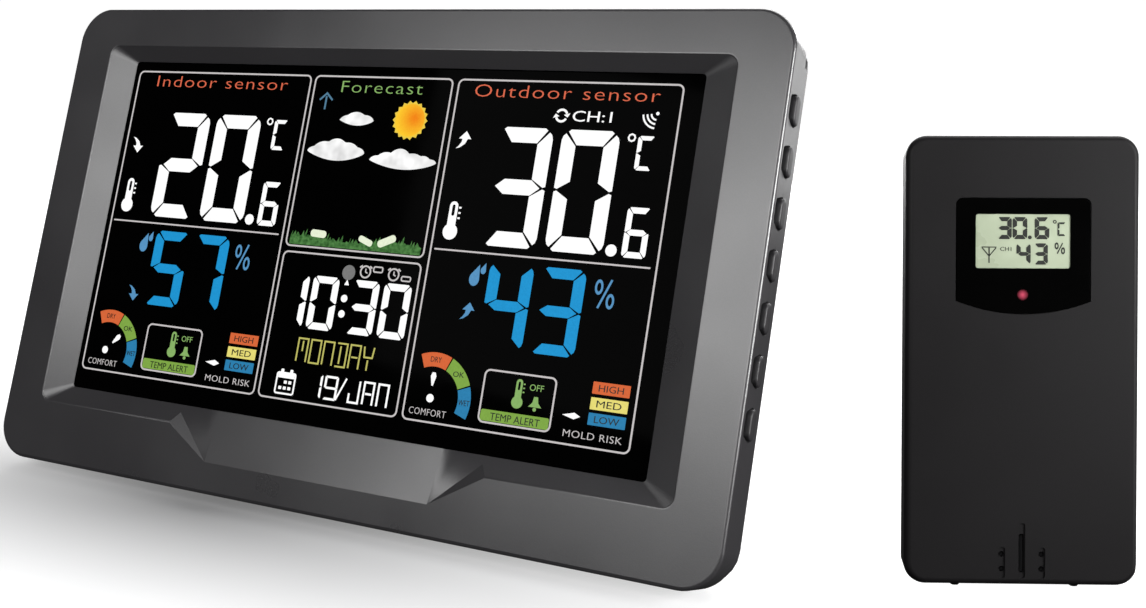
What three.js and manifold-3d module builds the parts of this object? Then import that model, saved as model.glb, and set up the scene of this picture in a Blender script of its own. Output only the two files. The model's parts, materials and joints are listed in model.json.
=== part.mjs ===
// A home weather station: a desktop console with a colour display and its wireless outdoor sensor.
// Millimetres, +Z up, the console's front towards -Y. Each unit is drawn upright in its own frame
// (x to the right, y from its front face to its back, z up from its bottom edge) and then leaned back.
import * as THREE from "three";
import { ConvexGeometry } from "three/addons/geometries/ConvexGeometry.js";
import { mergeVertices } from "three/addons/utils/BufferGeometryUtils.js";
import Module from "manifold-3d";

const wasm = await Module();
wasm.setup();

const GAP = 0.3; // clearance between neighbouring pieces
const THROUGH = 1; // how far a cutting tool runs past the face it starts from
const CORNER_STEPS = 6; // flats on each rounded corner
const ROUND_STEPS = 20; // flats on a turned piece

// ---- Console ----
const CONSOLE_WIDTH = 210;
const CONSOLE_HEIGHT = 128;
const CONSOLE_DEPTH = 26;
const CONSOLE_LEAN = THREE.MathUtils.degToRad(21.1);
const CONSOLE_REST = 13.8; // depth at which the table plane meets the plane of the bottom edge
const CORNER_RADIUS = 9.5;
const BEZEL_DEPTH = 9.4;
const BEZEL_WALL = 2.2;
const BEZEL_FRONT = 2.9; // thickness of the face around the display
const EDGE_ROUND = 0.9;
const COVER_START = BEZEL_DEPTH + GAP;
const COVER_SHOULDER = 15.2; // depth where the back starts to slope in
const COVER_INSET = 1;
const BACK_INSET = 11;
const COVER_WALL = 1.8;
const BACK_INNER = CONSOLE_DEPTH - COVER_WALL;

// Display opening, measured from the console's bottom edge
const OPENING = { half: 92.5, low: 16.3, high: 117.25, radius: 2.6 };
const WINDOW = { half: 84.6, low: 21.1, high: 113.4, radius: 1 };
const OPENING_DEPTH = 2.7;
const SCOOP = { topHalf: 47, bottomHalf: 33, bottom: 7.9, floorHalf: 39 };

const BUTTON_COUNT = 7;
const BUTTON_PITCH = 11.6;
const BUTTON_TOP = 106.3;
const BUTTON_DEPTH = { front: 3.9, back: 7.7 };
const BUTTON_HEIGHT = 6.9;
const BUTTON_RECESS = 1.5; // depth at which the finger recess in front of each key begins
const BUTTON_PROUD = 0.8;

const BAY = { half: 24.9, low: 61, high: 98, floor: 13.3, wall: 1.4 };
const DOOR = { half: 27, low: 60.3, thick: 1.6 };
const CELL_RADIUS = 5.2;
const CELL_LENGTH = 43.5;

const STAND = { half: 30, thick: 3, pivotY: 24.1, pivotZ: 46, open: THREE.MathUtils.degToRad(45) };
const STAND_BARREL = 1.6;
const STAND_PIN = 1.5;
const SCREW_X = 92;
const SCREW_Z = [14, 114];
const JACK = { x: -70, z: 38 };
const BUZZER = { x: 62, z: 44, radius: 9 };

// ---- Outdoor sensor ----
const SENSOR_WIDTH = 50.3;
const SENSOR_HEIGHT = 97.7;
const SENSOR_DEPTH = 20;
const SENSOR_LEAN = THREE.MathUtils.degToRad(13);
const SENSOR_TURN = THREE.MathUtils.degToRad(24);
const SENSOR_REST = 9.5;
const SENSOR_PLACE = { x: 160.35, y: 40.5 }; // middle of its front bottom edge, from the console's
const SENSOR_CORNER = 4.6;
const SENSOR_SEAM = 9;
const SENSOR_WALL = 1.8;
const SENSOR_FRONT = 2.2;
const SENSOR_SEAM_INSET = 1.1; // the front shell narrows towards the seam
const SENSOR_SHOULDER = 12;
const SENSOR_SHOULDER_INSET = 2;
const SENSOR_BACK_INSET = 5.2;
const SENSOR_BAY = { half: 11.2, low: 41.3, high: 89.6, floor: 7.3, wall: 1.3 };
const SENSOR_DOOR = { half: 13, low: 40.3, thick: 1.7 };
const SENSOR_STAND = {
  half: 9.8,
  thick: 2.6,
  pivotY: 18.1,
  pivotZ: 36,
  open: THREE.MathUtils.degToRad(35),
};
const SHIELD = { half: 14.4, top: 83.9, side: 61.6, tip: 56.2, corner: 1.5 };
const SENSOR_LCD = { half: 10.5, low: 68.6, high: 80.9 };
const LED_Z = 63;
const TRANSMIT_AT = [-15.6, 26];

const colours = {
  housing: { color: "#4b4b4d", roughness: 0.55, metalness: 0 },
  sensorHousing: { color: "#2b2a2d", roughness: 0.5, metalness: 0 },
  glass: { color: "#0a0a0c", roughness: 0.08, metalness: 0 },
  lcd: { color: "#15171a", roughness: 0.2, metalness: 0 },
  sensorLcd: { color: "#b9c2a6", roughness: 0.3, metalness: 0 },
  diffuser: { color: "#e9ebe8", roughness: 0.6, metalness: 0 },
  internal: { color: "#d8d8d4", roughness: 0.6, metalness: 0 },
  board: { color: "#1f5a34", roughness: 0.5, metalness: 0 },
  steel: { color: "#b8bbc0", roughness: 0.3, metalness: 1 },
  cell: { color: "#6d7f8f", roughness: 0.35, metalness: 0.4 },
  rubber: { color: "#171717", roughness: 0.9, metalness: 0 },
  component: { color: "#202124", roughness: 0.6, metalness: 0 },
  ferrite: { color: "#3a3633", roughness: 0.7, metalness: 0.1 },
  led: { color: "#c02018", roughness: 0.2, metalness: 0 },
};

// ---- Geometry helpers ----
const plain = (geometry) =>
  new THREE.BufferGeometry().setAttribute(
    "position",
    (geometry.index ? geometry.toNonIndexed() : geometry).getAttribute("position"),
  );

function solid(geometry) {
  const merged = mergeVertices(plain(geometry), 1e-4);
  return new wasm.Manifold(
    new wasm.Mesh({
      numProp: 3,
      vertProperties: merged.attributes.position.array,
      triVerts: new Uint32Array(merged.index.array),
    }),
  );
}

function surface(body) {
  const mesh = body.getMesh();
  return new THREE.BufferGeometry()
    .setAttribute("position", new THREE.BufferAttribute(mesh.vertProperties, 3))
    .setIndex(new THREE.BufferAttribute(mesh.triVerts, 1));
}

const join = (...bodies) => bodies.reduce((whole, body) => whole.add(body));
const cut = (base, ...tools) => tools.reduce((whole, tool) => whole.subtract(tool), base);

const block = (x, y, z) =>
  solid(
    new THREE.BoxGeometry(x[1] - x[0], y[1] - y[0], z[1] - z[0]).translate(
      (x[0] + x[1]) / 2,
      (y[0] + y[1]) / 2,
      (z[0] + z[1]) / 2,
    ),
  );

// A round rod along one axis, from one end to the other, its middle at the two remaining coordinates.
function rod(axis, radius, from, to, middle, steps = ROUND_STEPS) {
  const geometry = new THREE.CylinderGeometry(radius, radius, to - from, steps);
  geometry.translate(0, (from + to) / 2, 0);
  if (axis === "x") geometry.rotateZ(-Math.PI / 2).translate(0, middle[0], middle[1]);
  if (axis === "y") geometry.translate(middle[0], 0, middle[1]);
  if (axis === "z") geometry.rotateX(Math.PI / 2).translate(middle[0], middle[1], 0);
  return solid(geometry);
}

// Corner points of a rounded rectangle at one depth.
function ring(half, low, high, radius, y) {
  const points = [];
  const corners = [
    [half - radius, high - radius],
    [radius - half, high - radius],
    [radius - half, low + radius],
    [half - radius, low + radius],
  ];
  corners.forEach(([x, z], quarter) => {
    for (let step = 0; step <= CORNER_STEPS; step++) {
      const angle = (quarter + step / CORNER_STEPS) * (Math.PI / 2);
      points.push(new THREE.Vector3(x + radius * Math.cos(angle), y, z + radius * Math.sin(angle)));
    }
  });
  return points;
}

const hull = (...rings) => solid(new ConvexGeometry(rings.flat()));

// A profile drawn in the y-z plane, swept across from one x to another.
function sweep(profile, from, to) {
  const shape = new THREE.Shape(profile.map(([y, z]) => new THREE.Vector2(y, z)));
  const geometry = new THREE.ExtrudeGeometry(shape, { depth: to - from, bevelEnabled: false });
  geometry.applyMatrix4(
    new THREE.Matrix4().makeBasis(
      new THREE.Vector3(0, 1, 0),
      new THREE.Vector3(0, 0, 1),
      new THREE.Vector3(1, 0, 0),
    ),
  );
  return solid(geometry.translate(from, 0, 0));
}

// A shape drawn in the x-z plane, extruded from one depth to another.
function plate(shape, from, to, curveSegments = 6) {
  const geometry = new THREE.ExtrudeGeometry(shape, {
    depth: to - from,
    bevelEnabled: false,
    curveSegments,
  });
  return solid(geometry.rotateX(Math.PI / 2).translate(0, to, 0));
}

const polygon = (points) => new THREE.Shape(points.map(([x, z]) => new THREE.Vector2(x, z)));

// Everything under the table plane in a leaned unit's own frame.
function underTable(rest, lean, reach) {
  const slope = Math.tan(lean);
  const at = (y) => (y - rest) * slope;
  return sweep(
    [
      [-reach, at(-reach)],
      [-reach, -2 * reach],
      [reach, -2 * reach],
      [reach, at(reach)],
    ],
    -reach,
    reach,
  );
}

// Depth at which a cover's sloped side has moved in by a given amount, and the reverse.
const insetAt = (y, shoulder, depth, from, to) => from + ((y - shoulder) / (depth - shoulder)) * (to - from);

function piece(group, name, body, colour) {
  const mesh = new THREE.Mesh(surface(body), new THREE.MeshStandardMaterial(colours[colour]));
  mesh.name = name;
  group.add(mesh);
}

const mirrored = (make) => [-1, 1].map((side) => make(side));
const buttonZ = (index) => BUTTON_TOP - index * BUTTON_PITCH;

// ---- Console pieces ----
function frontBezel() {
  const half = CONSOLE_WIDTH / 2;
  const outline = (inset, y) =>
    ring(half - inset, inset, CONSOLE_HEIGHT - inset, CORNER_RADIUS - inset * 0.8, y);
  const outer = hull(
    outline(EDGE_ROUND, 0),
    outline(EDGE_ROUND * 0.3, EDGE_ROUND * 0.3),
    outline(0, EDGE_ROUND),
    outline(0, BEZEL_DEPTH),
  );
  const cavity = hull(
    outline(BEZEL_WALL, BEZEL_FRONT),
    outline(BEZEL_WALL, BEZEL_DEPTH + THROUGH),
  );
  const bevel = hull(
    ring(OPENING.half, OPENING.low, OPENING.high, OPENING.radius, 0),
    ring(OPENING.half, OPENING.low, OPENING.high, OPENING.radius, -THROUGH),
    ring(WINDOW.half, WINDOW.low, WINDOW.high, WINDOW.radius, OPENING_DEPTH),
  );
  const opening = hull(
    ring(WINDOW.half, WINDOW.low, WINDOW.high, WINDOW.radius, OPENING_DEPTH - 0.1),
    ring(WINDOW.half, WINDOW.low, WINDOW.high, WINDOW.radius, BEZEL_FRONT + THROUGH),
  );
  const scoopPoints = [-1, 1].flatMap((side) => [
    new THREE.Vector3(side * SCOOP.topHalf, 0, OPENING.low),
    new THREE.Vector3(side * SCOOP.topHalf, -THROUGH, OPENING.low),
    new THREE.Vector3(side * SCOOP.bottomHalf, 0, SCOOP.bottom),
    new THREE.Vector3(side * SCOOP.bottomHalf, -THROUGH, SCOOP.bottom),
    new THREE.Vector3(side * SCOOP.topHalf, 0, WINDOW.low),
    new THREE.Vector3(side * SCOOP.topHalf, OPENING_DEPTH * 0.7, WINDOW.low),
    new THREE.Vector3(side * SCOOP.floorHalf, OPENING_DEPTH, WINDOW.low),
    new THREE.Vector3(side * SCOOP.floorHalf, OPENING_DEPTH, WINDOW.low + 1),
    new THREE.Vector3(side * SCOOP.topHalf, 0, WINDOW.low + 1),
  ]);
  const { front, back } = BUTTON_DEPTH;
  const slotAt = (x) => [
    ...sideOutline([BUTTON_RECESS, front], BUTTON_HEIGHT / 2 - 0.6, x),
    ...sideOutline([front - GAP, back + GAP], BUTTON_HEIGHT / 2 + GAP, x),
  ];
  const slot = hull(slotAt(half - BEZEL_WALL - THROUGH), slotAt(half + THROUGH));
  const slots = Array.from({ length: BUTTON_COUNT }, (_, index) =>
    slot.translate(0, 0, buttonZ(index)),
  );
  const screwAt = mirrored((side) => SCREW_Z.map((z) => [side * SCREW_X, z])).flat();
  const bosses = screwAt.map((at) => rod("y", 3.2, BEZEL_FRONT - 0.2, BEZEL_DEPTH, at));
  const bores = screwAt.map((at) => rod("y", 1.7, 4.4, BEZEL_DEPTH + THROUGH, at));
  const shell = cut(outer, cavity, bevel, opening, hull(scoopPoints), ...slots);
  return cut(join(shell, ...bosses), ...bores);
}

// An oval on the console's side wall, between two depths.
function sideOutline([front, back], halfHeight, x) {
  const reach = (back - front) / 2;
  const flat = ring(reach, -halfHeight, halfHeight, reach - 0.1, 0);
  return flat.map((p) => new THREE.Vector3(x, (front + back) / 2 + p.x, p.z));
}

function sideButton(index) {
  const half = CONSOLE_WIDTH / 2;
  const { front, back } = BUTTON_DEPTH;
  const flangeX = half - BEZEL_WALL - GAP;
  const edge = 0.4;
  const cap = hull(
    sideOutline([front, back], BUTTON_HEIGHT / 2, flangeX - 0.2),
    sideOutline([front, back], BUTTON_HEIGHT / 2, half + BUTTON_PROUD - edge),
    sideOutline([front + edge, back - edge], BUTTON_HEIGHT / 2 - edge, half + BUTTON_PROUD),
  );
  const flangeHalf = BUTTON_HEIGHT / 2 + 0.8;
  const flange = block([flangeX - 1, flangeX], [front - 0.4, back + 0.9], [-flangeHalf, flangeHalf]);
  return join(cap, flange).translate(0, 0, buttonZ(index));
}

function keyBoard() {
  const x = CONSOLE_WIDTH / 2 - 8;
  const low = buttonZ(BUTTON_COUNT - 1) - 8;
  const strip = block([x, x + 1.2], [3.5, BEZEL_DEPTH - 0.2], [low, BUTTON_TOP + 8]);
  const switches = Array.from({ length: BUTTON_COUNT }, (_, index) =>
    block([x + 1, x + 3.2], [4.2, 8.2], [buttonZ(index) - 3, buttonZ(index) + 3]),
  );
  return join(strip, ...switches);
}

function lcdHolder() {
  const outer = { half: 87.5, low: 16.2, high: 118.2 };
  const inner = { half: 83.5, low: 19.9, high: 114.5 };
  const span = [BEZEL_FRONT + 1.5 + 2 * GAP, 10];
  return cut(
    block([-outer.half, outer.half], span, [outer.low, outer.high]),
    block([-inner.half, inner.half], [span[0] - THROUGH, span[1] + THROUGH], [inner.low, inner.high]),
  );
}

const coverInset = (y) => insetAt(y, COVER_SHOULDER, CONSOLE_DEPTH, COVER_INSET, BACK_INSET);

function coverOutline(inset, y, radius) {
  return ring(CONSOLE_WIDTH / 2 - inset, inset, CONSOLE_HEIGHT - inset, radius, y);
}

function rearCover() {
  const outer = hull(
    coverOutline(COVER_INSET, COVER_START, 8.5),
    coverOutline(COVER_INSET, COVER_SHOULDER, 8.5),
    coverOutline(BACK_INSET, CONSOLE_DEPTH, 5),
  );
  const cavity = hull(
    coverOutline(COVER_INSET + COVER_WALL, COVER_START - THROUGH, 7),
    coverOutline(COVER_INSET + COVER_WALL, COVER_SHOULDER - 0.4, 7),
    coverOutline(BACK_INSET + 1, BACK_INNER, 4.5),
  );
  const wall = BAY.wall;
  const bay = block([-BAY.half - wall, BAY.half + wall], [12.2, BACK_INNER - 0.1], [
    BAY.low - wall,
    BAY.high + wall,
  ]);
  const seatDepth = CONSOLE_DEPTH - DOOR.thick - GAP;
  const seat = block([-DOOR.half - 2, DOOR.half + 2], [seatDepth - 1.5, BACK_INNER + 0.3], [58, 118]);
  const recessHalf = STAND.half + 1;
  const recessTop = STAND.pivotZ + STAND_BARREL + 0.8;
  const recessFloor = STAND.pivotY - STAND_BARREL - 0.4;
  const recessBox = block([-recessHalf - 1.8, recessHalf + 1.8], [recessFloor - 1.8, BACK_INNER + 0.3], [
    9.6,
    recessTop + 1.8,
  ]);
  const screwAt = mirrored((side) => SCREW_Z.map((z) => [side * SCREW_X, z])).flat();
  const bosses = screwAt.map((at) => rod("y", 4.2, COVER_START, CONSOLE_DEPTH, at).intersect(outer));

  const past = CONSOLE_DEPTH + THROUGH;
  const bayHollow = block([-BAY.half, BAY.half], [BAY.floor, past], [BAY.low, BAY.high]);
  const channel = block([-DOOR.half - GAP, DOOR.half + GAP], [seatDepth, past], [
    DOOR.low - GAP,
    CONSOLE_HEIGHT,
  ]);
  const recess = block([-recessHalf, recessHalf], [recessFloor, past], [-THROUGH, recessTop]);
  const pinBore = rod("x", STAND_PIN + 0.3, -recessHalf - 1.3, recessHalf + 1.3, [
    STAND.pivotY,
    STAND.pivotZ,
  ]);
  const screwBores = screwAt.flatMap((at) => [
    rod("y", 1.7, COVER_START - THROUGH, 18, at),
    rod("y", 3.2, 17, past, at),
  ]);
  const jackHole = rod("y", 3.3, BACK_INNER - THROUGH, past, [JACK.x, JACK.z]);
  const soundHoles = Array.from({ length: 7 }, (_, index) => {
    const angle = (index * Math.PI) / 3;
    const reach = index === 6 ? 0 : 4;
    const at = [BUZZER.x + reach * Math.cos(angle), BUZZER.z + reach * Math.sin(angle)];
    return rod("y", 0.9, BACK_INNER - THROUGH, past, at, 8);
  });
  const vents = Array.from({ length: 6 }, (_, index) =>
    block([-86, -62], [BACK_INNER - THROUGH, past], [84 + index * 4, 85.6 + index * 4]),
  );
  return cut(
    join(cut(outer, cavity), bay, seat, recessBox, ...bosses),
    bayHollow,
    channel,
    recess,
    pinBore,
    jackHole,
    ...screwBores,
    ...soundHoles,
    ...vents,
  );
}

// A sliding battery door: flush with the back, its top end following the sloped edge.
function slidingDoor(door, depth, height, inset, gripZ) {
  const inner = depth - door.thick;
  const blank = sweep(
    [
      [inner, door.low],
      [depth, door.low],
      [depth, height - inset(depth)],
      [inner, height - inset(inner)],
    ],
    -door.half,
    door.half,
  );
  const grooves = [0, 1, 2].map((index) =>
    block([-door.half * 0.35, door.half * 0.35], [depth - 0.6, depth + THROUGH], [
      gripZ + index * 2.4,
      gripZ + index * 2.4 + 1.2,
    ]),
  );
  return cut(blank, ...grooves);
}

// A fold-out leg: plate, hinge barrel and two pins, cut level where it stands on the table.
function foldOutLeg(leg, barrel, pin, table) {
  const reach = leg.length + 6;
  const turned = join(
    block([-leg.half, leg.half], [-leg.thick / 2, leg.thick / 2], [-reach, 0]),
    rod("x", barrel, -leg.half, leg.half, [0, 0]),
    rod("x", pin, -leg.half - 1.8, leg.half + 1.8, [0, 0]),
  ).rotate([THREE.MathUtils.radToDeg(leg.open), 0, 0]);
  return cut(turned.translate(0, leg.pivotY, leg.pivotZ), table);
}

function legLength(leg, rest, lean) {
  const drop = leg.pivotZ * Math.cos(lean) - (leg.pivotY - rest) * Math.sin(lean);
  return drop / Math.cos(leg.open - lean);
}

function cellAlongX(z) {
  const middle = [BAY.floor + 0.3 + CELL_RADIUS, z];
  const half = CELL_LENGTH / 2;
  return join(
    rod("x", CELL_RADIUS, -half, half, middle),
    rod("x", 1.9, half - 1, half + 1, middle, 12),
  );
}

function contactAlongX(side) {
  const outer = BAY.half - GAP;
  const spread = [side * outer, side * (outer - 0.5)].sort((a, b) => a - b);
  const spring = [side * (outer - 0.4), side * (outer - 1.2)].sort((a, b) => a - b);
  const strip = block(spread, [14.4, 23.4], [BAY.low + 0.8, BAY.high - 0.8]);
  const springs = cellRows().map((z) => rod("x", 2.2, ...spring, [BAY.floor + 5.5, z], 12));
  return join(strip, ...springs);
}

function cellRows() {
  const middle = (BAY.low + BAY.high) / 2;
  return [middle + 11.6, middle, middle - 11.6];
}

function dcJack() {
  const { x, z } = JACK;
  const back = BACK_INNER - GAP;
  const body = block([x - 5, x + 5], [12.2, back], [z - 5, z + 5]);
  const bore = rod("y", 2.8, back - 9, back + THROUGH, [x, z]);
  const pin = rod("y", 0.9, back - 9.5, back - 1, [x, z], 10);
  return join(cut(body, bore), pin);
}

function rubberFoot(side) {
  const slope = Math.tan(CONSOLE_LEAN);
  const table = (y) => (y - CONSOLE_REST) * slope;
  const front = 12.4;
  const back = 18.2;
  const skin = (y) => coverInset(y) - 0.45;
  const profile = [
    [front, table(front)],
    [back, table(back)],
    [back, skin(back)],
    [COVER_SHOULDER + 0.2, COVER_INSET - GAP],
    [front, COVER_INSET - GAP],
  ];
  return sweep(profile, side * 80 - 8, side * 80 + 8);
}

function screw(at, head, tip, seat) {
  return join(rod("y", head, seat, seat + 2, at, 14), rod("y", 1.4, tip, seat + 1, at, 10));
}

function buildConsole(group) {
  const add = (name, body, colour) => piece(group, name, body, colour);
  const windowBack = BEZEL_FRONT + GAP + 1.5;
  const lcdBack = windowBack + GAP + 2.2;
  const table = underTable(CONSOLE_REST, CONSOLE_LEAN, 150);
  add("front_bezel", frontBezel(), "housing");
  add(
    "display_window",
    block([-87.5, 87.5], [BEZEL_FRONT + GAP, windowBack], [18.2, 116.2]),
    "glass",
  );
  add("lcd_panel", block([-83.2, 83.2], [windowBack + GAP, lcdBack], [20.2, 114.2]), "lcd");
  add("light_guide", block([-83.2, 83.2], [lcdBack + GAP, lcdBack + 2.6], [20.2, 114.2]), "diffuser");
  add("lcd_holder", lcdHolder(), "internal");
  add("main_board", block([-72, 72], [10.3, 11.9], [22, 112]), "board");
  add("key_board", keyBoard(), "board");
  for (let index = 0; index < BUTTON_COUNT; index++)
    add(`side_button_${index + 1}`, sideButton(index), "housing");
  add("rear_cover", rearCover(), "housing");
  add(
    "battery_door",
    slidingDoor(DOOR, CONSOLE_DEPTH, CONSOLE_HEIGHT, coverInset, 104),
    "housing",
  );
  cellRows().forEach((z, index) => add(`battery_${index + 1}`, cellAlongX(z), "cell"));
  add("battery_contact_left", contactAlongX(-1), "steel");
  add("battery_contact_right", contactAlongX(1), "steel");
  STAND.length = legLength(STAND, CONSOLE_REST, CONSOLE_LEAN);
  add("table_stand", foldOutLeg(STAND, STAND_BARREL, STAND_PIN, table), "housing");
  add("rubber_foot_left", rubberFoot(-1), "rubber");
  add("rubber_foot_right", rubberFoot(1), "rubber");
  add("dc_jack", dcJack(), "component");
  add("piezo_buzzer", rod("y", BUZZER.radius, 12.2, 17.5, [BUZZER.x, BUZZER.z]), "component");
  add("radio_module", block([38, 58], [12.2, 14.8], [76, 104]), "steel");
  add("clock_antenna", rod("z", 4, 56, 78, [-60, 17]), "ferrite");
  add("room_sensor", block([-80, -70], [12.2, 18], [88, 100]), "internal");
  let count = 0;
  for (const side of [-1, 1])
    for (const z of SCREW_Z)
      add(`cover_screw_${++count}`, screw([side * SCREW_X, z], 2.8, 5, 18.3), "steel");
}

// ---- Sensor pieces ----
const sensorInset = (y) =>
  insetAt(y, SENSOR_SHOULDER, SENSOR_DEPTH, SENSOR_SHOULDER_INSET, SENSOR_BACK_INSET);

function shieldShape(grow) {
  const half = SHIELD.half + grow;
  const top = SHIELD.top + grow;
  const shape = new THREE.Shape();
  shape.moveTo(half, SHIELD.side);
  shape.lineTo(half, top - SHIELD.corner);
  shape.quadraticCurveTo(half, top, half - SHIELD.corner, top);
  shape.lineTo(SHIELD.corner - half, top);
  shape.quadraticCurveTo(-half, top, -half, top - SHIELD.corner);
  shape.lineTo(-half, SHIELD.side);
  shape.quadraticCurveTo(0, SHIELD.tip - 2 * grow, half, SHIELD.side);
  return shape;
}

const SENSOR_SCREWS = [
  [-16.4, 9.6],
  [16.4, 9.6],
  [-16.8, 86],
  [16.8, 86],
];

function sensorFrontShell() {
  const half = SENSOR_WIDTH / 2;
  const outline = (inset, y) =>
    ring(half - inset, inset, SENSOR_HEIGHT - inset, SENSOR_CORNER - inset * 0.9, y);
  const outer = hull(
    outline(1.4, 0),
    outline(0.45, 0.45),
    outline(0, 1.6),
    outline(SENSOR_SEAM_INSET, SENSOR_SEAM),
  );
  const cavity = hull(
    outline(SENSOR_WALL + 0.1, SENSOR_FRONT),
    outline(SENSOR_WALL + SENSOR_SEAM_INSET + 0.2, SENSOR_SEAM + THROUGH),
  );
  const slope = Math.tan(SENSOR_LEAN);
  const table = (y) => (y - SENSOR_REST) * slope;
  const footTop = 1.6;
  const feet = mirrored((side) =>
    hull(
      [-1.8, 1.8].flatMap((x) => [
        new THREE.Vector3(side * 13 + x, 3.8, footTop),
        new THREE.Vector3(side * 13 + x, 8.4, footTop),
        new THREE.Vector3(side * 13 + x / 2.4, 4.6, table(4.6)),
        new THREE.Vector3(side * 13 + x / 2.4, 7.6, table(7.6)),
      ]),
    ),
  );
  const pocket = plate(shieldShape(GAP), -THROUGH, 1.3);
  const view = block([-SENSOR_LCD.half, SENSOR_LCD.half], [0, SENSOR_FRONT + THROUGH], [
    SENSOR_LCD.low,
    SENSOR_LCD.high,
  ]);
  const ledHole = rod("y", 1.8, 0, SENSOR_FRONT + THROUGH, [0, LED_Z], 12);
  const slot = block([-0.6, 0.6], [-THROUGH, SENSOR_FRONT + THROUGH], [2.4, 10.9]);
  const holes = mirrored((side) =>
    [3.3, 6.6].map((z) =>
      rod("y", 0.6, -THROUGH, SENSOR_FRONT + THROUGH, [side * 4.3, z], 8),
    ),
  ).flat();
  const bosses = SENSOR_SCREWS.map((at) => rod("y", 2.8, SENSOR_FRONT - 0.2, SENSOR_SEAM, at, 14));
  const bores = SENSOR_SCREWS.map((at) => rod("y", 1.7, 4.4, SENSOR_SEAM + THROUGH, at, 12));
  const shell = cut(outer, cavity, pocket, view, ledHole, slot, ...holes);
  return cut(join(shell, ...bosses, ...feet), ...bores);
}

function sensorRearShell() {
  const half = SENSOR_WIDTH / 2;
  const outline = (inset, y, radius) => ring(half - inset, inset, SENSOR_HEIGHT - inset, radius, y);
  const start = SENSOR_SEAM + GAP;
  const inner = SENSOR_DEPTH - SENSOR_WALL;
  const outer = hull(
    outline(SENSOR_SEAM_INSET + 0.4, start, 4),
    outline(SENSOR_SHOULDER_INSET, SENSOR_SHOULDER, 4),
    outline(SENSOR_BACK_INSET, SENSOR_DEPTH, 3),
  );
  const cavity = hull(
    outline(SENSOR_SEAM_INSET + 0.4 + SENSOR_WALL, start - THROUGH, 3),
    outline(SENSOR_SHOULDER_INSET + SENSOR_WALL, SENSOR_SHOULDER - 0.4, 3),
    outline(SENSOR_BACK_INSET + 1.1, inner, 2.4),
  );
  const past = SENSOR_DEPTH + THROUGH;
  const wall = SENSOR_BAY.wall;
  const bay = block([-SENSOR_BAY.half - wall, SENSOR_BAY.half + wall], [6.2, inner + 0.2], [
    SENSOR_BAY.low - wall,
    SENSOR_BAY.high + wall,
  ]);
  const seatDepth = SENSOR_DEPTH - SENSOR_DOOR.thick - GAP;
  const seatHalf = SENSOR_DOOR.half + 1.6;
  const seat = block([-seatHalf, seatHalf], [seatDepth - 1.4, inner + 0.2], [39, 93]);
  const leg = SENSOR_STAND;
  const recessFloor = leg.pivotY - 1.4 - 0.4;
  const recessHalf = leg.half + 0.8;
  const recessTop = leg.pivotZ + 2.2;
  const recessBox = block([-recessHalf - 1.5, recessHalf + 1.5], [recessFloor - 1.5, inner + 0.2], [
    5.6,
    recessTop + 1.5,
  ]);
  const bosses = SENSOR_SCREWS.map((at) => rod("y", 3.4, start, SENSOR_DEPTH, at, 14).intersect(outer));
  const bayHollow = block([-SENSOR_BAY.half, SENSOR_BAY.half], [SENSOR_BAY.floor, past], [
    SENSOR_BAY.low,
    SENSOR_BAY.high,
  ]);
  const channel = block([-SENSOR_DOOR.half - GAP, SENSOR_DOOR.half + GAP], [seatDepth, past], [
    SENSOR_DOOR.low - GAP,
    SENSOR_HEIGHT + THROUGH,
  ]);
  const recess = block([-recessHalf, recessHalf], [recessFloor, past], [-THROUGH, recessTop]);
  const pinBore = rod("x", 1.6, -recessHalf - 1.1, recessHalf + 1.1, [leg.pivotY, leg.pivotZ], 14);
  const bores = SENSOR_SCREWS.flatMap((at) => [
    rod("y", 1.7, start - THROUGH, 14, at, 12),
    rod("y", 2.6, 13.4, past, at, 14),
  ]);
  const switchSlot = block([14.7, 17.5], [inner - THROUGH, past], [22.2, 29.6]);
  const buttonHole = rod("y", 2.5, inner - THROUGH, past, TRANSMIT_AT, 16);
  return cut(
    join(cut(outer, cavity), bay, seat, recessBox, ...bosses),
    bayHollow,
    channel,
    recess,
    pinBore,
    switchSlot,
    buttonHole,
    ...bores,
  );
}

function sensorBoard() {
  const outline = polygon([
    [-13, 8],
    [13, 8],
    [13, 14],
    [21, 14],
    [21, 81],
    [13, 81],
    [13, 90],
    [-13, 90],
    [-13, 81],
    [-21, 81],
    [-21, 14],
    [-13, 14],
  ]);
  return join(
    plate(outline, 4.6, 5.8),
    block([14.5, 18.5], [5.7, 7.2], [22, 30]),
    block([-18, -14], [5.7, 7.2], [24, 28]),
  );
}

function sensorContact(low) {
  const top = low > 60;
  const bumps = top ? [low - 0.8, low + 0.1] : [low + 0.3, low + 1.1];
  const strip = block([-10.6, 10.6], [8.4, 17.2], [low, low + 0.4]);
  return join(strip, ...mirrored((side) => rod("z", 2.2, ...bumps, [side * 5.5, 12.8], 12)));
}

function sensorCell(side) {
  const middle = [side * 5.5, SENSOR_BAY.floor + 0.3 + CELL_RADIUS];
  return join(
    rod("z", CELL_RADIUS, 43.4, 86.9, middle),
    rod("z", 1.9, 86, 87.9, middle, 12),
  );
}

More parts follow.
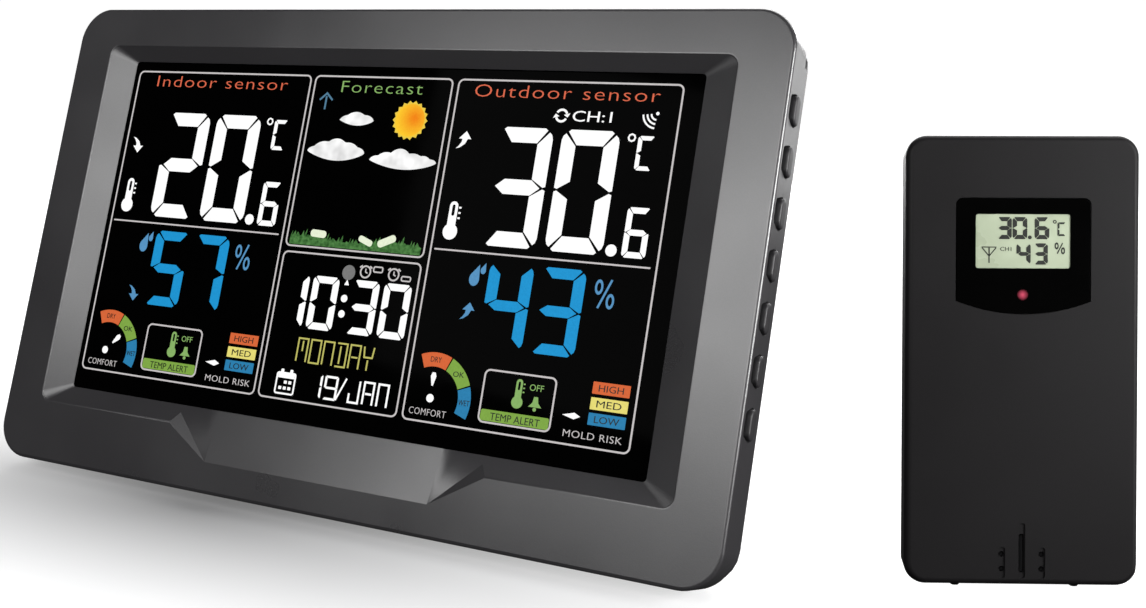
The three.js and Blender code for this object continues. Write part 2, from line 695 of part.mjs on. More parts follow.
function buildSensor(group) {
  const add = (name, body, colour) => piece(group, name, body, colour);
  const table = underTable(SENSOR_REST, SENSOR_LEAN, 90);
  add("sensor_front_shell", sensorFrontShell(), "sensorHousing");
  add("sensor_window", plate(shieldShape(0), 0.1, 1), "glass");
  add("sensor_lcd", block([-12.5, 12.5], [2.5, 4.2], [66.5, 83.2]), "sensorLcd");
  add("sensor_board", sensorBoard(), "board");
  add("sensor_led", rod("y", 1.5, 1.35, 4.3, [0, LED_Z], 14), "led");
  add("sensor_rear_shell", sensorRearShell(), "sensorHousing");
  add(
    "sensor_battery_door",
    slidingDoor(SENSOR_DOOR, SENSOR_DEPTH, SENSOR_HEIGHT, sensorInset, 84),
    "sensorHousing",
  );
  add("sensor_battery_1", sensorCell(-1), "cell");
  add("sensor_battery_2", sensorCell(1), "cell");
  add("sensor_contact_bottom", sensorContact(SENSOR_BAY.low + GAP), "steel");
  add("sensor_contact_top", sensorContact(SENSOR_BAY.high - GAP - 0.4), "steel");
  const knob = join(
    block([15, 17.2], [15, 19.7], [22.5, 25.1]),
    block([13.8, 18.4], [16.4, 17.9], [21.2, 26.4]),
    block([15.5, 16.7], [7.6, 16], [23.2, 24.4]),
  );
  add("channel_switch", knob, "component");
  const press = join(
    rod("y", 2.2, 16, 19.7, TRANSMIT_AT, 16),
    rod("y", 3, 16.8, 17.9, TRANSMIT_AT, 16),
    rod("y", 1.2, 8.4, 17, TRANSMIT_AT, 10),
  );
  add("transmit_button", press, "component");
  SENSOR_STAND.length = legLength(SENSOR_STAND, SENSOR_REST, SENSOR_LEAN);
  add("sensor_stand", foldOutLeg(SENSOR_STAND, 1.4, 1.3, table), "sensorHousing");
  add("outdoor_probe", block([-2, 2], [6.1, 8.6], [9, 14]), "internal");
  SENSOR_SCREWS.forEach((at, index) =>
    add(`sensor_screw_${index + 1}`, screw(at, 2.3, 4.8, 14.3), "steel"),
  );
}

// ---- Assembly ----
const group = new THREE.Group();
const set = new THREE.Group();
const station = new THREE.Group();
const sensor = new THREE.Group();
const sensorTurned = new THREE.Group();
buildConsole(station);
buildSensor(sensor);
station.rotation.x = -CONSOLE_LEAN;
station.position.z = CONSOLE_REST * Math.sin(CONSOLE_LEAN);
sensor.rotation.x = -SENSOR_LEAN;
sensor.position.z = SENSOR_REST * Math.sin(SENSOR_LEAN);
sensorTurned.rotation.z = SENSOR_TURN;
sensorTurned.position.set(SENSOR_PLACE.x, SENSOR_PLACE.y, 0);
sensorTurned.add(sensor);
set.add(station, sensorTurned);
group.add(set);

// The origin is the middle of the set's footprint, at table height.
set.updateMatrixWorld(true);
const bounds = new THREE.Box3().setFromObject(set, true);
set.position.set(-(bounds.min.x + bounds.max.x) / 2, -(bounds.min.y + bounds.max.y) / 2, -bounds.min.z);

export default group;
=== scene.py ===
"""A home weather station: a desktop console with a colour display, and its wireless outdoor sensor.

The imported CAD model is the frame. Shapes below are drawn in each unit's own upright frame, in
millimetres (x to the right, y from the front face to the back, z up from the bottom edge), and
placed by that unit's joints. The script then gives every surface its finish.
"""

import json
import math

import bmesh
import bpy
from mathutils import Matrix, Vector
from mathutils.geometry import tessellate_polygon


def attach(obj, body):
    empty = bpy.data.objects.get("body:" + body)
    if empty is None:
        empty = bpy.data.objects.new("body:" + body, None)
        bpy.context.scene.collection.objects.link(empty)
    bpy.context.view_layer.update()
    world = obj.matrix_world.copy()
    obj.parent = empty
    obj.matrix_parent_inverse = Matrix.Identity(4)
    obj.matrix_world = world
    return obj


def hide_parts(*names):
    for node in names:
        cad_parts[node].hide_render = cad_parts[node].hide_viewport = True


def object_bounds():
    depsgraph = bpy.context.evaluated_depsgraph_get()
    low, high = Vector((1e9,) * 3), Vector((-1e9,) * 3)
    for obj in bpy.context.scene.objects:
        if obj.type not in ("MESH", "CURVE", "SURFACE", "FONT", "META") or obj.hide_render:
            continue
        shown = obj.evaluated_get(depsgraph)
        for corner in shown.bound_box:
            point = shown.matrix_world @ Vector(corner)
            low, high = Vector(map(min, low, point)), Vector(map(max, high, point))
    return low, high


MM = 0.001
CORNER_STEPS = 12  # flats on each rounded corner
THROUGH = 1.0  # how far a cutting tool runs past a surface
MERGE = 0.004  # points of a rounded piece closer than this are one
SAME_POINT = 1e-5  # the same, while a mesh is being built
NODE_EDGE_ANGLE = 25  # a CAD node's edges that turn by more than this, in degrees, are rounded

# ---- Console, in its own frame ----
WIDTH, HEIGHT = 210.0, 128.0
CORNER_RADIUS = 9.5
STAND_PIVOT = (24.1, 46.0)  # depth and height of the fold-out stand's pins
BEZEL_DEPTH, BEZEL_FRONT, BEZEL_WALL = 9.4, 2.9, 2.2
EDGE_ROUND, EDGE_STEPS = 0.9, 10
LIP_ROUND, LIP_STEPS = 0.5, 9
REAR_CHAMFER = 0.25
OPENING = {"half": 92.5, "low": 16.3, "high": 117.25, "radius": 2.6}
WINDOW = {"half": 84.6, "low": 21.1, "high": 113.4, "radius": 1.0}
OPENING_DEPTH = 2.7
LENS_FRONT = 3.2
SCOOP = {"top_half": 47.0, "bottom_half": 33.0, "bottom": 7.9, "floor_half": 39.0}
# Each facet's soft run into the scoop's floor: distance out from the floor's end, and share of the depth
SCOOP_BLEND = ((3.8, 0.86), (1.0, 0.945), (-2.0, 0.985), (-5.5, 1.0))
KEY_COUNT, KEY_PITCH, KEY_TOP = 7, 11.6, 106.3
KEY = {"front": 3.9, "back": 7.7, "half_height": 3.45, "proud": 0.8}
KEY_RECESS = 1.5
GAP = 0.3

# ---- Sensor, in its own frame ----
SENSOR_WIDTH, SENSOR_HEIGHT = 50.3, 97.7
SENSOR_PIVOT = (18.1, 36.0)
SENSOR_CORNER = 4.6
SENSOR_SEAM, SENSOR_SEAM_INSET = 9.0, 1.1
SENSOR_FRONT, SENSOR_WALL = 2.2, 1.8
SENSOR_EDGE = {"inset": 1.4, "depth": 1.6, "steps": 7}
SHIELD = {"half": 14.4, "top": 83.9, "side": 61.6, "tip": 56.2, "corner": 1.5}
SHIELD_STEPS = 24
SHIELD_FRONT, PANEL_FRONT = 0.1, 0.35  # depths of the shield lens and the reading panel
SENSOR_LCD = {"half": 10.25, "low": 68.7, "high": 80.6}
LED_X, LED_Z, LED_RADIUS = -0.1, 63.0, 1.2
VENT_SLOT = {"half": 0.6, "low": 2.7, "high": 11.1, "corner": 0.5}
HOLE_SPREAD, HOLE_HEIGHTS, HOLE_RADIUS = 4.3, (3.5, 6.7), 0.62
GROOVE = {"half": 0.72, "low": 1.5, "corner": 0.5, "depth": 0.3}
GROOVE_TOPS = ((-4.3, 8.2), (0, 13.4), (4.3, 8.2))  # each groove's place across, and its top
SHADE_PLATE_PLAY, SHADE_PLATE_DEPTHS = 0.02, (1.5, 1.8)  # the dark plates that fill the vents: painted shade inside the holes
FOOT = {"spread": 13, "depth": 6.1, "top": 1.5, "level_depth": 9.5}

# ---- Display figures ----
FIGURE_PROUD, FIGURE_SUNK = 0.05, 0.01
FIGURE_SPECULAR = 0.03
LINE = 0.43  # width of the printed frame lines
READING_Z = 70.1  # foot of the temperature digits
CLOUD_STEPS = 56

# ---- Stage ----
# Camera, in millimetres and degrees, from the middle of the console's front bottom edge
CAMERA = {"across": 182.55, "ahead": -231.0, "up": 123.0, "turn": 25.6, "tilt": 12.9}
CAMERA.update(lens=39.83, sensor=36, clip=(0.01, 20))
# The table top's profile in metres: distance from the middle, and height
FLOOR_PROFILE = ((0.3, 0), (0.9, 0), (1.8, 0), (2.6, 0.02), (3.2, 0.2), (3.7, 0.8), (4.0, 3.0))
FLOOR_SPOKES = 64
FLOOR_DARK, FLOOR_LIGHT = (0.34, 0.34, 0.345, 1), (0.36, 0.36, 0.365, 1)
FLOOR_GLOW = (0.05, 1.0)  # in the painted shadow patch, and beyond it
PAINTED_SHADOW_SPOT = (-0.075, -0.042, 0)  # middle of the painted shadow: where the table top glows least, under the console's front edge
PAINTED_SHADOW_NARROWING = (0.34, 1, 1)  # the painted shadow is longer along the console than across it
# how far the painted shadow reaches
PAINTED_SHADOW_REACH = 0.07
WORLD_LIGHT = 0.02

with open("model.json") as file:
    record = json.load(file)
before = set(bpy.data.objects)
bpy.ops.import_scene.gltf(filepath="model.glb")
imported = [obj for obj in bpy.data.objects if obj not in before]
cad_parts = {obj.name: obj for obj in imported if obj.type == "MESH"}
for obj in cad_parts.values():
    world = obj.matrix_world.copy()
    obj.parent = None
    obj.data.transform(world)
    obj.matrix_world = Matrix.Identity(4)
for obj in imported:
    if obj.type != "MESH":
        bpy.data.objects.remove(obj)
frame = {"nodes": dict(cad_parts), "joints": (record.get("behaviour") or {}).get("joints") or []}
CAD_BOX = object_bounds()
JOINTS = {joint["name"]: joint for joint in frame["joints"]}
NODES = frame["nodes"]


def unit_frame(pivot_joint, up_joint, pivot):
    """Matrix from a unit's own millimetres to the row frame, from its stand's hinge and its door's slide."""
    across = Vector(JOINTS[pivot_joint]["axis"]).normalized()
    up = Vector(JOINTS[up_joint]["axis"]).normalized()
    back = up.cross(across)
    turned = Matrix((across, back, up)).transposed().to_4x4()
    origin = Vector(JOINTS[pivot_joint]["pos_m"]) - (back * pivot[0] + up * pivot[1]) * MM
    return Matrix.Translation(origin) @ turned @ Matrix.Scale(MM, 4)


CONSOLE = unit_frame("table_stand_fold", "battery_door_slide", STAND_PIVOT)
SENSOR = unit_frame("sensor_stand_fold", "sensor_battery_door_slide", SENSOR_PIVOT)


# ======================= Mesh helpers =======================
def around(x, z, radius, angle, stretch=1.0):
    """The point at an angle, in degrees, on a circle or an upright oval."""
    turn = math.radians(angle)
    return x + radius * math.cos(turn), z + stretch * radius * math.sin(turn)


def arc(x, z, radius, start, end, steps, stretch=1.0):
    return [around(x, z, radius, start + (end - start) * step / steps, stretch) for step in range(steps + 1)]


def disc(x, z, radius, steps=24, stretch=1.0):
    return arc(x, z, radius, 0, 360, steps, stretch)[:-1]


def swung(points, x, z, angle):
    """Points given from (x, z), turned about it by some degrees."""
    cos, sin = math.cos(math.radians(angle)), math.sin(math.radians(angle))
    return [(x + px * cos - pz * sin, z + px * sin + pz * cos) for px, pz in points]


def round_box(x0, x1, z0, z1, radius, steps=6):
    """Outline of a rounded box in the x-z plane."""
    left, right, low, top = x0 + radius, x1 - radius, z0 + radius, z1 - radius
    corners = ((right, top), (left, top), (left, low), (right, low))
    return [
        point
        for quarter, corner in enumerate(corners)
        for point in arc(*corner, radius, quarter * 90, quarter * 90 + 90, steps)
    ]


def rounded(half, low, high, radius, depth, steps=CORNER_STEPS):
    """Points round a rounded rectangle at one depth."""
    return [Vector((x, depth, z)) for x, z in round_box(-half, half, low, high, radius, steps)]


def finish_bmesh(bm, mesh, merge=0.0):
    """Writes a bmesh to a mesh with its faces pointing out, its points first merged if asked."""
    if merge:
        bmesh.ops.remove_doubles(bm, verts=bm.verts, dist=merge)
    bmesh.ops.recalc_face_normals(bm, faces=bm.faces)
    bm.to_mesh(mesh)
    bm.free()
    return mesh


def loft(rings, closed=False):
    """Skin over rings of equal length; closed joins the last ring to the first, otherwise both are capped."""
    bm = bmesh.new()
    rows = [[bm.verts.new(point) for point in ring] for ring in rings]
    pairs = list(zip(rows, rows[1:]))
    if closed:
        pairs.append((rows[-1], rows[0]))
    for lower, upper in pairs:
        count = len(lower)
        for index in range(count):
            following = (index + 1) % count
            bm.faces.new((lower[index], lower[following], upper[following], upper[index]))
    if not closed:
        bm.faces.new(rows[0])
        bm.faces.new(rows[-1])
    return finish_bmesh(bm, bpy.data.meshes.new("loft"), SAME_POINT)


def hull(points):
    bm = bmesh.new()
    for point in points:
        bm.verts.new(point)
    made = bmesh.ops.convex_hull(bm, input=bm.verts)
    unused = made["geom_interior"] + made["geom_unused"]
    spare = {item for item in unused if isinstance(item, bmesh.types.BMVert)}
    bmesh.ops.delete(bm, geom=list(spare), context="VERTS")
    return finish_bmesh(bm, bpy.data.meshes.new("hull"), SAME_POINT)


def prism(shapes, front, back):
    """Closed plates cut to shapes in the x-z plane; a shape is its outline, then any holes."""
    bm = bmesh.new()
    for loops in shapes:
        outlines = [[Vector((x, z, 0)) for x, z in loop] for loop in loops]
        faces = tessellate_polygon(outlines)
        flat = [point for outline in outlines for point in outline]
        near = [bm.verts.new((p.x, front, p.y)) for p in flat]
        far = [bm.verts.new((p.x, back, p.y)) for p in flat]
        for triangle in faces:
            bm.faces.new([near[i] for i in triangle])
            bm.faces.new([far[i] for i in reversed(triangle)])
        start = 0
        for outline in outlines:
            count = len(outline)
            for index in range(count):
                a, b = start + index, start + (index + 1) % count
                bm.faces.new((near[a], near[b], far[b], far[a]))
            start += count
    return finish_bmesh(bm, bpy.data.meshes.new("prism"))


def place(name, mesh, where):
    mesh.transform(where)
    mesh.name = name
    obj = bpy.data.objects.new(name, mesh)
    bpy.context.scene.collection.objects.link(obj)
    return obj


def settle(obj):
    """Bakes an object's modifiers into its mesh."""
    graph = bpy.context.evaluated_depsgraph_get()
    mesh = bpy.data.meshes.new_from_object(obj.evaluated_get(graph))
    mesh.name = obj.name
    obj.modifiers.clear()
    obj.data = mesh


def carve(obj, tools, where):
    """Cuts each tool out of an object in turn."""
    for index, tool in enumerate(tools):
        cutter = place(f"cutter_{index}", tool, where)
        modifier = obj.modifiers.new("cut", "BOOLEAN")
        modifier.operation = "DIFFERENCE"
        modifier.solver = "EXACT"
        modifier.object = cutter
        settle(obj)
        bpy.data.objects.remove(cutter)


def soften(obj, width, angle, segments=2, flat_area=150):
    """Rounds edges that turn by more than angle; faces over flat_area (mm2) stay flat, the rest smooth."""
    bevel = obj.modifiers.new("edges", "BEVEL")
    bevel.width = width * MM
    bevel.segments = segments
    bevel.limit_method = "ANGLE"
    bevel.angle_limit = math.radians(angle)
    bevel.use_clamp_overlap = True
    settle(obj)
    mesh = obj.data
    tidied = bmesh.new()
    tidied.from_mesh(mesh)
    bmesh.ops.remove_doubles(tidied, verts=tidied.verts, dist=MERGE * MM)
    bmesh.ops.dissolve_degenerate(tidied, edges=tidied.edges, dist=MERGE * MM)
    for vertex in tidied.verts:  # a rounded edge stays inside the CAD model's box
        vertex.co = [min(max(at, low), high) for at, low, high in zip(vertex.co, *CAD_BOX)]
    tidied.to_mesh(mesh)
    tidied.free()
    blended = [Vector() for _ in mesh.vertices]
    for polygon in mesh.polygons:
        polygon.use_smooth = True
        for vertex in polygon.vertices:
            blended[vertex] += polygon.normal * (polygon.area / MM**2) ** 2
    corners = [None] * len(mesh.loops)
    for polygon in mesh.polygons:
        flat = polygon.area > flat_area * MM**2
        for corner, vertex in zip(polygon.loop_indices, polygon.vertices):
            corners[corner] = polygon.normal.copy() if flat else blended[vertex].normalized()
    mesh.normals_split_custom_set(corners)


def dress(obj, material, body, slot, *replaced):
    obj.data.materials.clear()
    obj.data.materials.append(material)
    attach(obj, body)
    if replaced:
        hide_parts(*replaced)


def rounded_piece(name, mesh, where, width, angle, material, body, slot, *replaced):
    """A mesh as a placed piece with rounded edges."""
    piece = place(name, mesh, where)
    soften(piece, width, angle)
    dress(piece, material, body, slot, *replaced)


def softened_node(node, name, width, material, body, slot):
    """A CAD node's own shape as a new piece, its edges rounded."""
    mesh = NODES[node].data.copy()
    bm = bmesh.new()
    bm.from_mesh(mesh)
    bmesh.ops.remove_doubles(bm, verts=bm.verts, dist=2e-6)
    bmesh.ops.dissolve_limit(
        bm, angle_limit=math.radians(0.4), verts=bm.verts, edges=bm.edges, use_dissolve_boundaries=False
    )
    where = Matrix.Identity(4)
    rounded_piece(name, finish_bmesh(bm, mesh), where, width, NODE_EDGE_ANGLE, material, body, slot, node)


# ======================= Materials =======================
def srgb(code):
    """Linear colour of a #rrggbb code."""
    levels = [int(code[index : index + 2], 16) / 255 for index in (1, 3, 5)]
    return [v / 12.92 if v <= 0.04045 else ((v + 0.055) / 1.055) ** 2.4 for v in levels] + [1.0]


def shade(code, factor):
    red, green, blue, alpha = srgb(code)
    return (red * factor, green * factor, blue * factor, alpha)


class Finish:
    """A Principled material and the few nodes that all finishes here share."""

    def __init__(self, name, roughness=0.5, metallic=0.0, specular=0.5):
        self.material = bpy.data.materials.new(name)
        self.material.use_nodes = True
        self.tree = self.material.node_tree
        self.shader = self.tree.nodes["Principled BSDF"]
        self.shader.inputs["Metallic"].default_value = metallic
        self.shader.inputs["Roughness"].default_value = roughness
        self.shader.inputs["Specular IOR Level"].default_value = specular
        self.place = self.tree.nodes.new("ShaderNodeTexCoord").outputs["Object"]

    def node(self, kind, sockets, **values):
        """A new node; each socket takes a plain value or another node's output."""
        made = self.tree.nodes.new(kind)
        for key, value in values.items():
            setattr(made, key, value)
        for key, value in sockets.items():
            if isinstance(value, bpy.types.NodeSocket):
                self.tree.links.new(value, made.inputs[key])
            else:
                made.inputs[key].default_value = value
        return made

    def noise(self, grain_mm, detail=2.0, rough=0.5, where=None):
        """Noise whose features are about grain_mm across."""
        place = self.place if where is None else where
        sockets = {"Scale": 1 / (grain_mm * MM), "Detail": detail, "Roughness": rough, "Vector": place}
        return self.node("ShaderNodeTexNoise", sockets).outputs["Fac"]

    def mapped(self, **settings):
        """The object's coordinates, scaled or turned."""
        return self.node("ShaderNodeMapping", {"Vector": self.place, **settings}).outputs["Vector"]

    def ramp(self, factor, stops):
        ramp = self.node("ShaderNodeValToRGB", {"Fac": factor})
        for element, (position, colour) in zip(ramp.color_ramp.elements, stops):
            element.position = position
            element.color = colour
        return ramp.outputs["Color"]

    def shades(self, factor, code, dark, light, low=0.3, high=0.7):
        """Two shades of one colour, as multiples of it, at two levels of a factor."""
        return self.ramp(factor, [(low, shade(code, dark)), (high, shade(code, light))])

    def spread(self, factor, low, high, between=(0.3, 0.7)):
        """Maps a factor, by default noise in its usual middle range, to low..high."""
        sockets = {"From Min": between[0], "From Max": between[1], "To Min": low, "To Max": high}
        return self.node("ShaderNodeMapRange", {"Value": factor, **sockets}).outputs["Result"]

    def bump(self, height, depth_mm, strength):
        sockets = {"Strength": strength, "Distance": depth_mm * MM, "Height": height}
        return self.node("ShaderNodeBump", sockets).outputs["Normal"]

    def link(self, source, socket):
        self.tree.links.new(source, self.shader.inputs[socket])

    def glow(self, tint, strength):
        self.link(tint, "Emission Color")
        self.shader.inputs["Emission Strength"].default_value = strength

    def done(self, colour, roughness=None, normal=None):
        """Links the surface's colour, roughness and normal, and gives the finished material."""
        for socket, source in (("Base Color", colour), ("Roughness", roughness), ("Normal", normal)):
            if source is not None:
                self.link(source, socket)
        return self.material


def moulded(name, code, roughness, grain=0.32, depth=0.012, specular=0.4):
    """Spark-eroded plastic: fine grain, faint flow marks and slightly uneven gloss."""
    finish = Finish(name, roughness, specular=specular)
    broad = finish.noise(38, detail=3)
    fine = finish.noise(grain, detail=1.5, rough=0.6)
    flow, speckle = finish.shades(broad, code, 0.94, 1.06), finish.shades(fine, code, 0.8, 1.2, 0.35, 0.65)
    mottled = finish.node("ShaderNodeMix", {"Factor": 0.35, "A": flow, "B": speckle}, data_type="RGBA")
    gloss = finish.spread(broad, roughness - 0.05, roughness + 0.05)
    return finish.done(mottled.outputs["Result"], gloss, finish.bump(fine, depth, 0.8))


def polished(name, code, roughness, specular=0.5):
    """Polished acrylic with faint smears and a trace of moulding ripple."""
    finish = Finish(name, roughness, specular=specular)
    smear = finish.noise(14, detail=4)
    gloss = finish.spread(smear, roughness * 0.7, roughness * 1.4)
    ripple = finish.bump(finish.noise(30, detail=1), 0.02, 0.15)
    return finish.done(finish.shades(smear, code, 0.85, 1.15), gloss, ripple)


def metal(name, code, roughness, stretch):
    """Drawn or plated metal with fine directional lines."""
    finish = Finish(name, roughness, metallic=1.0)
    grain = finish.noise(0.4, where=finish.mapped(Scale=stretch))
    gloss = finish.spread(grain, roughness - 0.06, roughness + 0.08)
    return finish.done(finish.shades(grain, code, 0.85, 1.05), gloss, finish.bump(grain, 0.006, 0.5))


def rubber(name, code):
    finish = Finish(name, 0.85, specular=0.3)
    grain = finish.noise(0.5, detail=3, rough=0.7)
    gloss = finish.spread(grain, 0.75, 0.92)
    return finish.done(finish.shades(grain, code, 0.75, 1.3), gloss, finish.bump(grain, 0.05, 0.7))


def wrapped(name, code, band):
    """A cell's shrink wrap: plain sleeve with one lighter band, and slight creases."""
    finish = Finish(name, 0.3, specular=0.5)
    crease = finish.noise(5, detail=3)
    sockets = {"Scale": 9, "Distortion": 0.4, "Vector": finish.place}
    wave = finish.node("ShaderNodeTexWave", sockets, wave_type="BANDS", bands_direction="X")
    sleeve = finish.ramp(wave.outputs["Fac"], [(0.55, srgb(code)), (0.62, srgb(band))])
    return finish.done(sleeve, finish.spread(crease, 0.22, 0.4), finish.bump(crease, 0.08, 0.4))


def circuit(name, code):
    """Solder mask over copper tracks."""
    finish = Finish(name, 0.35, specular=0.5)
    mask = {"Color1": shade(code, 1), "Color2": shade(code, 1.25), "Mortar": shade(code, 2.2)}
    upright = finish.mapped(Rotation=(math.radians(90), 0, 0))
    tracks = finish.node(
        "ShaderNodeTexBrick", {"Scale": 180, "Mortar Size": 0.035, "Vector": upright, **mask}
    )
    relief = finish.bump(tracks.outputs["Fac"], 0.04, 0.5)
    return finish.done(tracks.outputs["Color"], finish.spread(finish.noise(3), 0.28, 0.45), relief)


def lit(name, code, glow, low=None, grain=0.5):
    """A lit display figure: even glow with a trace of the film's texture."""
    finish = Finish(name, 0.4, specular=FIGURE_SPECULAR)
    film = finish.noise(grain, detail=1)
    finish.glow(finish.ramp(film, [(0.3, shade(low or code, 0.93)), (0.7, srgb(code))]), glow)
    return finish.done(finish.shades(film, code, 0.06, 0.1))


def glowing_ball(name, heart, reach_mm, heart_code, rim_code):
    """A lit ball whose colour changes with the distance from its heart."""
    finish = Finish(name, 0.4, specular=FIGURE_SPECULAR)
    away = finish.node("ShaderNodeVectorMath", {0: finish.place, 1: heart}, operation="DISTANCE")
    share = finish.spread(away.outputs["Value"], 0, 1, (0, reach_mm * MM))
    finish.glow(finish.ramp(share, [(0.1, srgb(heart_code)), (0.95, srgb(rim_code))]), 1.0)
    dim = [(0.3, shade(heart_code, 0.06)), (0.7, shade(rim_code, 0.1))]
    return finish.done(finish.ramp(finish.noise(0.5), dim))


def printed(name, code):
    """Ink or a dark liquid-crystal segment."""
    finish = Finish(name, 0.5, specular=0.3)
    film = finish.noise(0.4)
    return finish.done(finish.shades(film, code, 0.85, 1.15), normal=finish.bump(film, 0.004, 0.3))


# ======================= Finishes =======================
HOUSING = moulded("anthracite_plastic", "#333234", 0.31, specular=1.0)
KEY_PLASTIC = moulded("key_plastic", "#2b2a2c", 0.42, specular=0.45)
CHARCOAL = moulded("charcoal_plastic", "#141314", 0.5, grain=0.26, specular=0.12)
LENS = polished("black_lens", "#020202", 0.06, specular=0.006)
SHIELD_LENS = polished("sensor_lens", "#030303", 0.09, specular=0.06)
INNER_WHITE = moulded("white_plastic", "#c9c8c2", 0.55)
DIFFUSER = polished("milky_guide", "#e2e6e2", 0.35)
DARK_GLASS = polished("display_glass", "#101114", 0.12)
PALE_GLASS = polished("reflective_display", "#a0aa92", 0.3)
BOARD = circuit("solder_mask", "#12502a")
PLATED = metal("nickel_plate", "#b9bbbe", 0.28, (1, 1, 0.1))
SCREW_STEEL = metal("zinc_plate", "#9fa2a6", 0.35, (1, 0.3, 1))
TINNED = metal("tinned_can", "#c2c5c9", 0.22, (0.2, 1, 1))
CELL_WRAP = wrapped("cell_sleeve", "#3d5266", "#8796a5")
RUBBER = rubber("foot_rubber", "#161616")
COMPONENT = moulded("black_component", "#18181a", 0.55)
FERRITE = moulded("ferrite", "#322d29", 0.7, grain=0.8, depth=0.04)
LED_RED = lit("led_lens", "#a81f2c", 0.8)

WHITE = lit("figures_white", "#ffffff", 1.0)
SOFT_WHITE = lit("lines_white", "#d9d4d4", 0.8)
BLUE = lit("figures_blue", "#1f95d2", 0.95)
PALE_BLUE = lit("icons_blue", "#5f9fd0", 0.8)
RED_LABEL = lit("label_red", "#dd6a4d", 0.95)
GREEN_LABEL = lit("label_green", "#8fbb6c", 0.85)
ORANGE = lit("scale_orange", "#dd6a3c", 0.9)
GREEN = lit("scale_green", "#86b04b", 0.85)
SCALE_BLUE = lit("scale_blue", "#2f86b8", 0.85)
YELLOW = lit("scale_yellow", "#eee27a", 0.9)
GRASS = lit("grass_green", "#5c9350", 0.75, low="#2f5f2b", grain=0.9)
PEBBLE = lit("pebble_white", "#eaf3d8", 0.95)
CLOUD = lit("cloud_white", "#fafafa", 1.0, low="#dcdcdc", grain=3)
SUN_RAYS = lit("sun_rays", "#f3d14a", 0.9)
TEAL = lit("arrow_teal", "#5f8fae", 0.7)
DAY_YELLOW = lit("weekday_yellow", "#c9c56a", 0.85)
GREY = lit("icon_grey", "#8b8b8b", 0.7)
INK = printed("figures_dark", "#12160f")


for finish, names in (
    (LENS, ["display_window"]),
    (DARK_GLASS, ["lcd_panel"]),
    (DIFFUSER, ["light_guide"]),
    (INNER_WHITE, ["lcd_holder", "room_sensor", "outdoor_probe"]),
    (BOARD, ["main_board", "key_board", "sensor_board"]),
    (PLATED, [f"battery_contact_{side}" for side in ("left", "right")]),
    (PLATED, [f"sensor_contact_{end}" for end in ("bottom", "top")]),
    (TINNED, ["radio_module"]),
    (COMPONENT, ["piezo_buzzer"]),
    (FERRITE, ["clock_antenna"]),
    (PALE_GLASS, ["sensor_lcd"]),
    (LED_RED, ["sensor_led"]),
    (SCREW_STEEL, [f"{unit}_screw_{index}" for unit in ("cover", "sensor") for index in (1, 2, 3, 4)]),
):
    for name in names:
        NODES[name].data.materials.clear()
        NODES[name].data.materials.append(finish)


# ======================= Console housing =======================
def console_outline(inset, depth):
    return rounded(WIDTH / 2 - inset, inset, HEIGHT - inset, CORNER_RADIUS - inset * 0.8, depth)


def front_bezel():
    """One skin round the bezel's section: inner wall, lip, sloped surround, face and side wall."""
    rings = [console_outline(BEZEL_WALL, BEZEL_DEPTH), console_outline(BEZEL_WALL, BEZEL_FRONT)]
    window = (WINDOW["half"], WINDOW["low"], WINDOW["high"], WINDOW["radius"])
    rings.append(rounded(*window, BEZEL_FRONT))
    rings.append(rounded(*window, OPENING_DEPTH))
    for cos, sin in arc(0, 0, 1, 0, 90, LIP_STEPS):
        # the rounded lip where the sloped surround meets the face
        out = LIP_ROUND * (0.5 - cos)
        depth = LIP_ROUND * 0.4 * (1 - sin)
        lip = (OPENING["half"] + out, OPENING["low"] - out, OPENING["high"] + out)
        rings.append(rounded(*lip, OPENING["radius"] + out + LIP_ROUND * 0.5, depth))
    for cos, sin in arc(0, 0, 1, 0, 90, EDGE_STEPS):
        rings.append(console_outline(EDGE_ROUND * (1 - sin), EDGE_ROUND * (1 - cos)))
    rings.append(console_outline(0, BEZEL_DEPTH - REAR_CHAMFER))
    rings.append(console_outline(REAR_CHAMFER, BEZEL_DEPTH))
    return loft(rings, closed=True)


def scoop_tool():
    """The finger scoop below the display: a sloped floor between two facets."""
    top, bottom, floor = SCOOP["top_half"], SCOOP["bottom_half"], SCOOP["floor_half"]
    lip, sill = OPENING["low"], WINDOW["low"]
    points = [
        (top, 0, lip),
        (top, -THROUGH, lip),
        (bottom, 0, SCOOP["bottom"]),
        (bottom, -THROUGH, SCOOP["bottom"]),
        (top, 0, sill),
        (top, OPENING_DEPTH * 0.7, sill),
    ]
    points += [(floor + out, OPENING_DEPTH * share, sill) for out, share in SCOOP_BLEND]
    points += [
        (floor + SCOOP_BLEND[-1][0], OPENING_DEPTH, sill + 1),
        (bottom - 3.5, 0, SCOOP["bottom"]),
        (top, 0, sill + 1),
    ]
    return hull([(side * x, y, z) for side in (-1, 1) for x, y, z in points])


def oval(front, back, half_height, x, middle):
    """An upright oval on the console's side, between two depths."""
    reach = (back - front) / 2
    flat = rounded(reach, -half_height, half_height, reach - 0.1, 0, 10)
    return [Vector((x, (front + back) / 2 + p.x, middle + p.z)) for p in flat]


def key_slot(middle):
    """A key's opening and the finger recess in front of it."""
    points = []
    for x in (WIDTH / 2 - BEZEL_WALL - THROUGH, WIDTH / 2 + THROUGH):
        points += oval(KEY_RECESS, KEY["front"], KEY["half_height"] - 0.6, x, middle)
        points += oval(KEY["front"] - GAP, KEY["back"] + GAP, KEY["half_height"] + GAP, x, middle)
    return hull(points)


def key_cap(middle):
    """A side key: straight flanks and a softly domed top."""
    base = WIDTH / 2 - BEZEL_WALL - GAP
    crown = WIDTH / 2 + KEY["proud"]
    sections = ((0, base - 0.8), (0, crown - 0.45), (0.12, crown - 0.2), (0.4, crown - 0.07), (0.9, crown))
    return loft(
        [
            oval(KEY["front"] + inset, KEY["back"] - inset, KEY["half_height"] - inset, x, middle)
            for inset, x in sections
        ]
    )


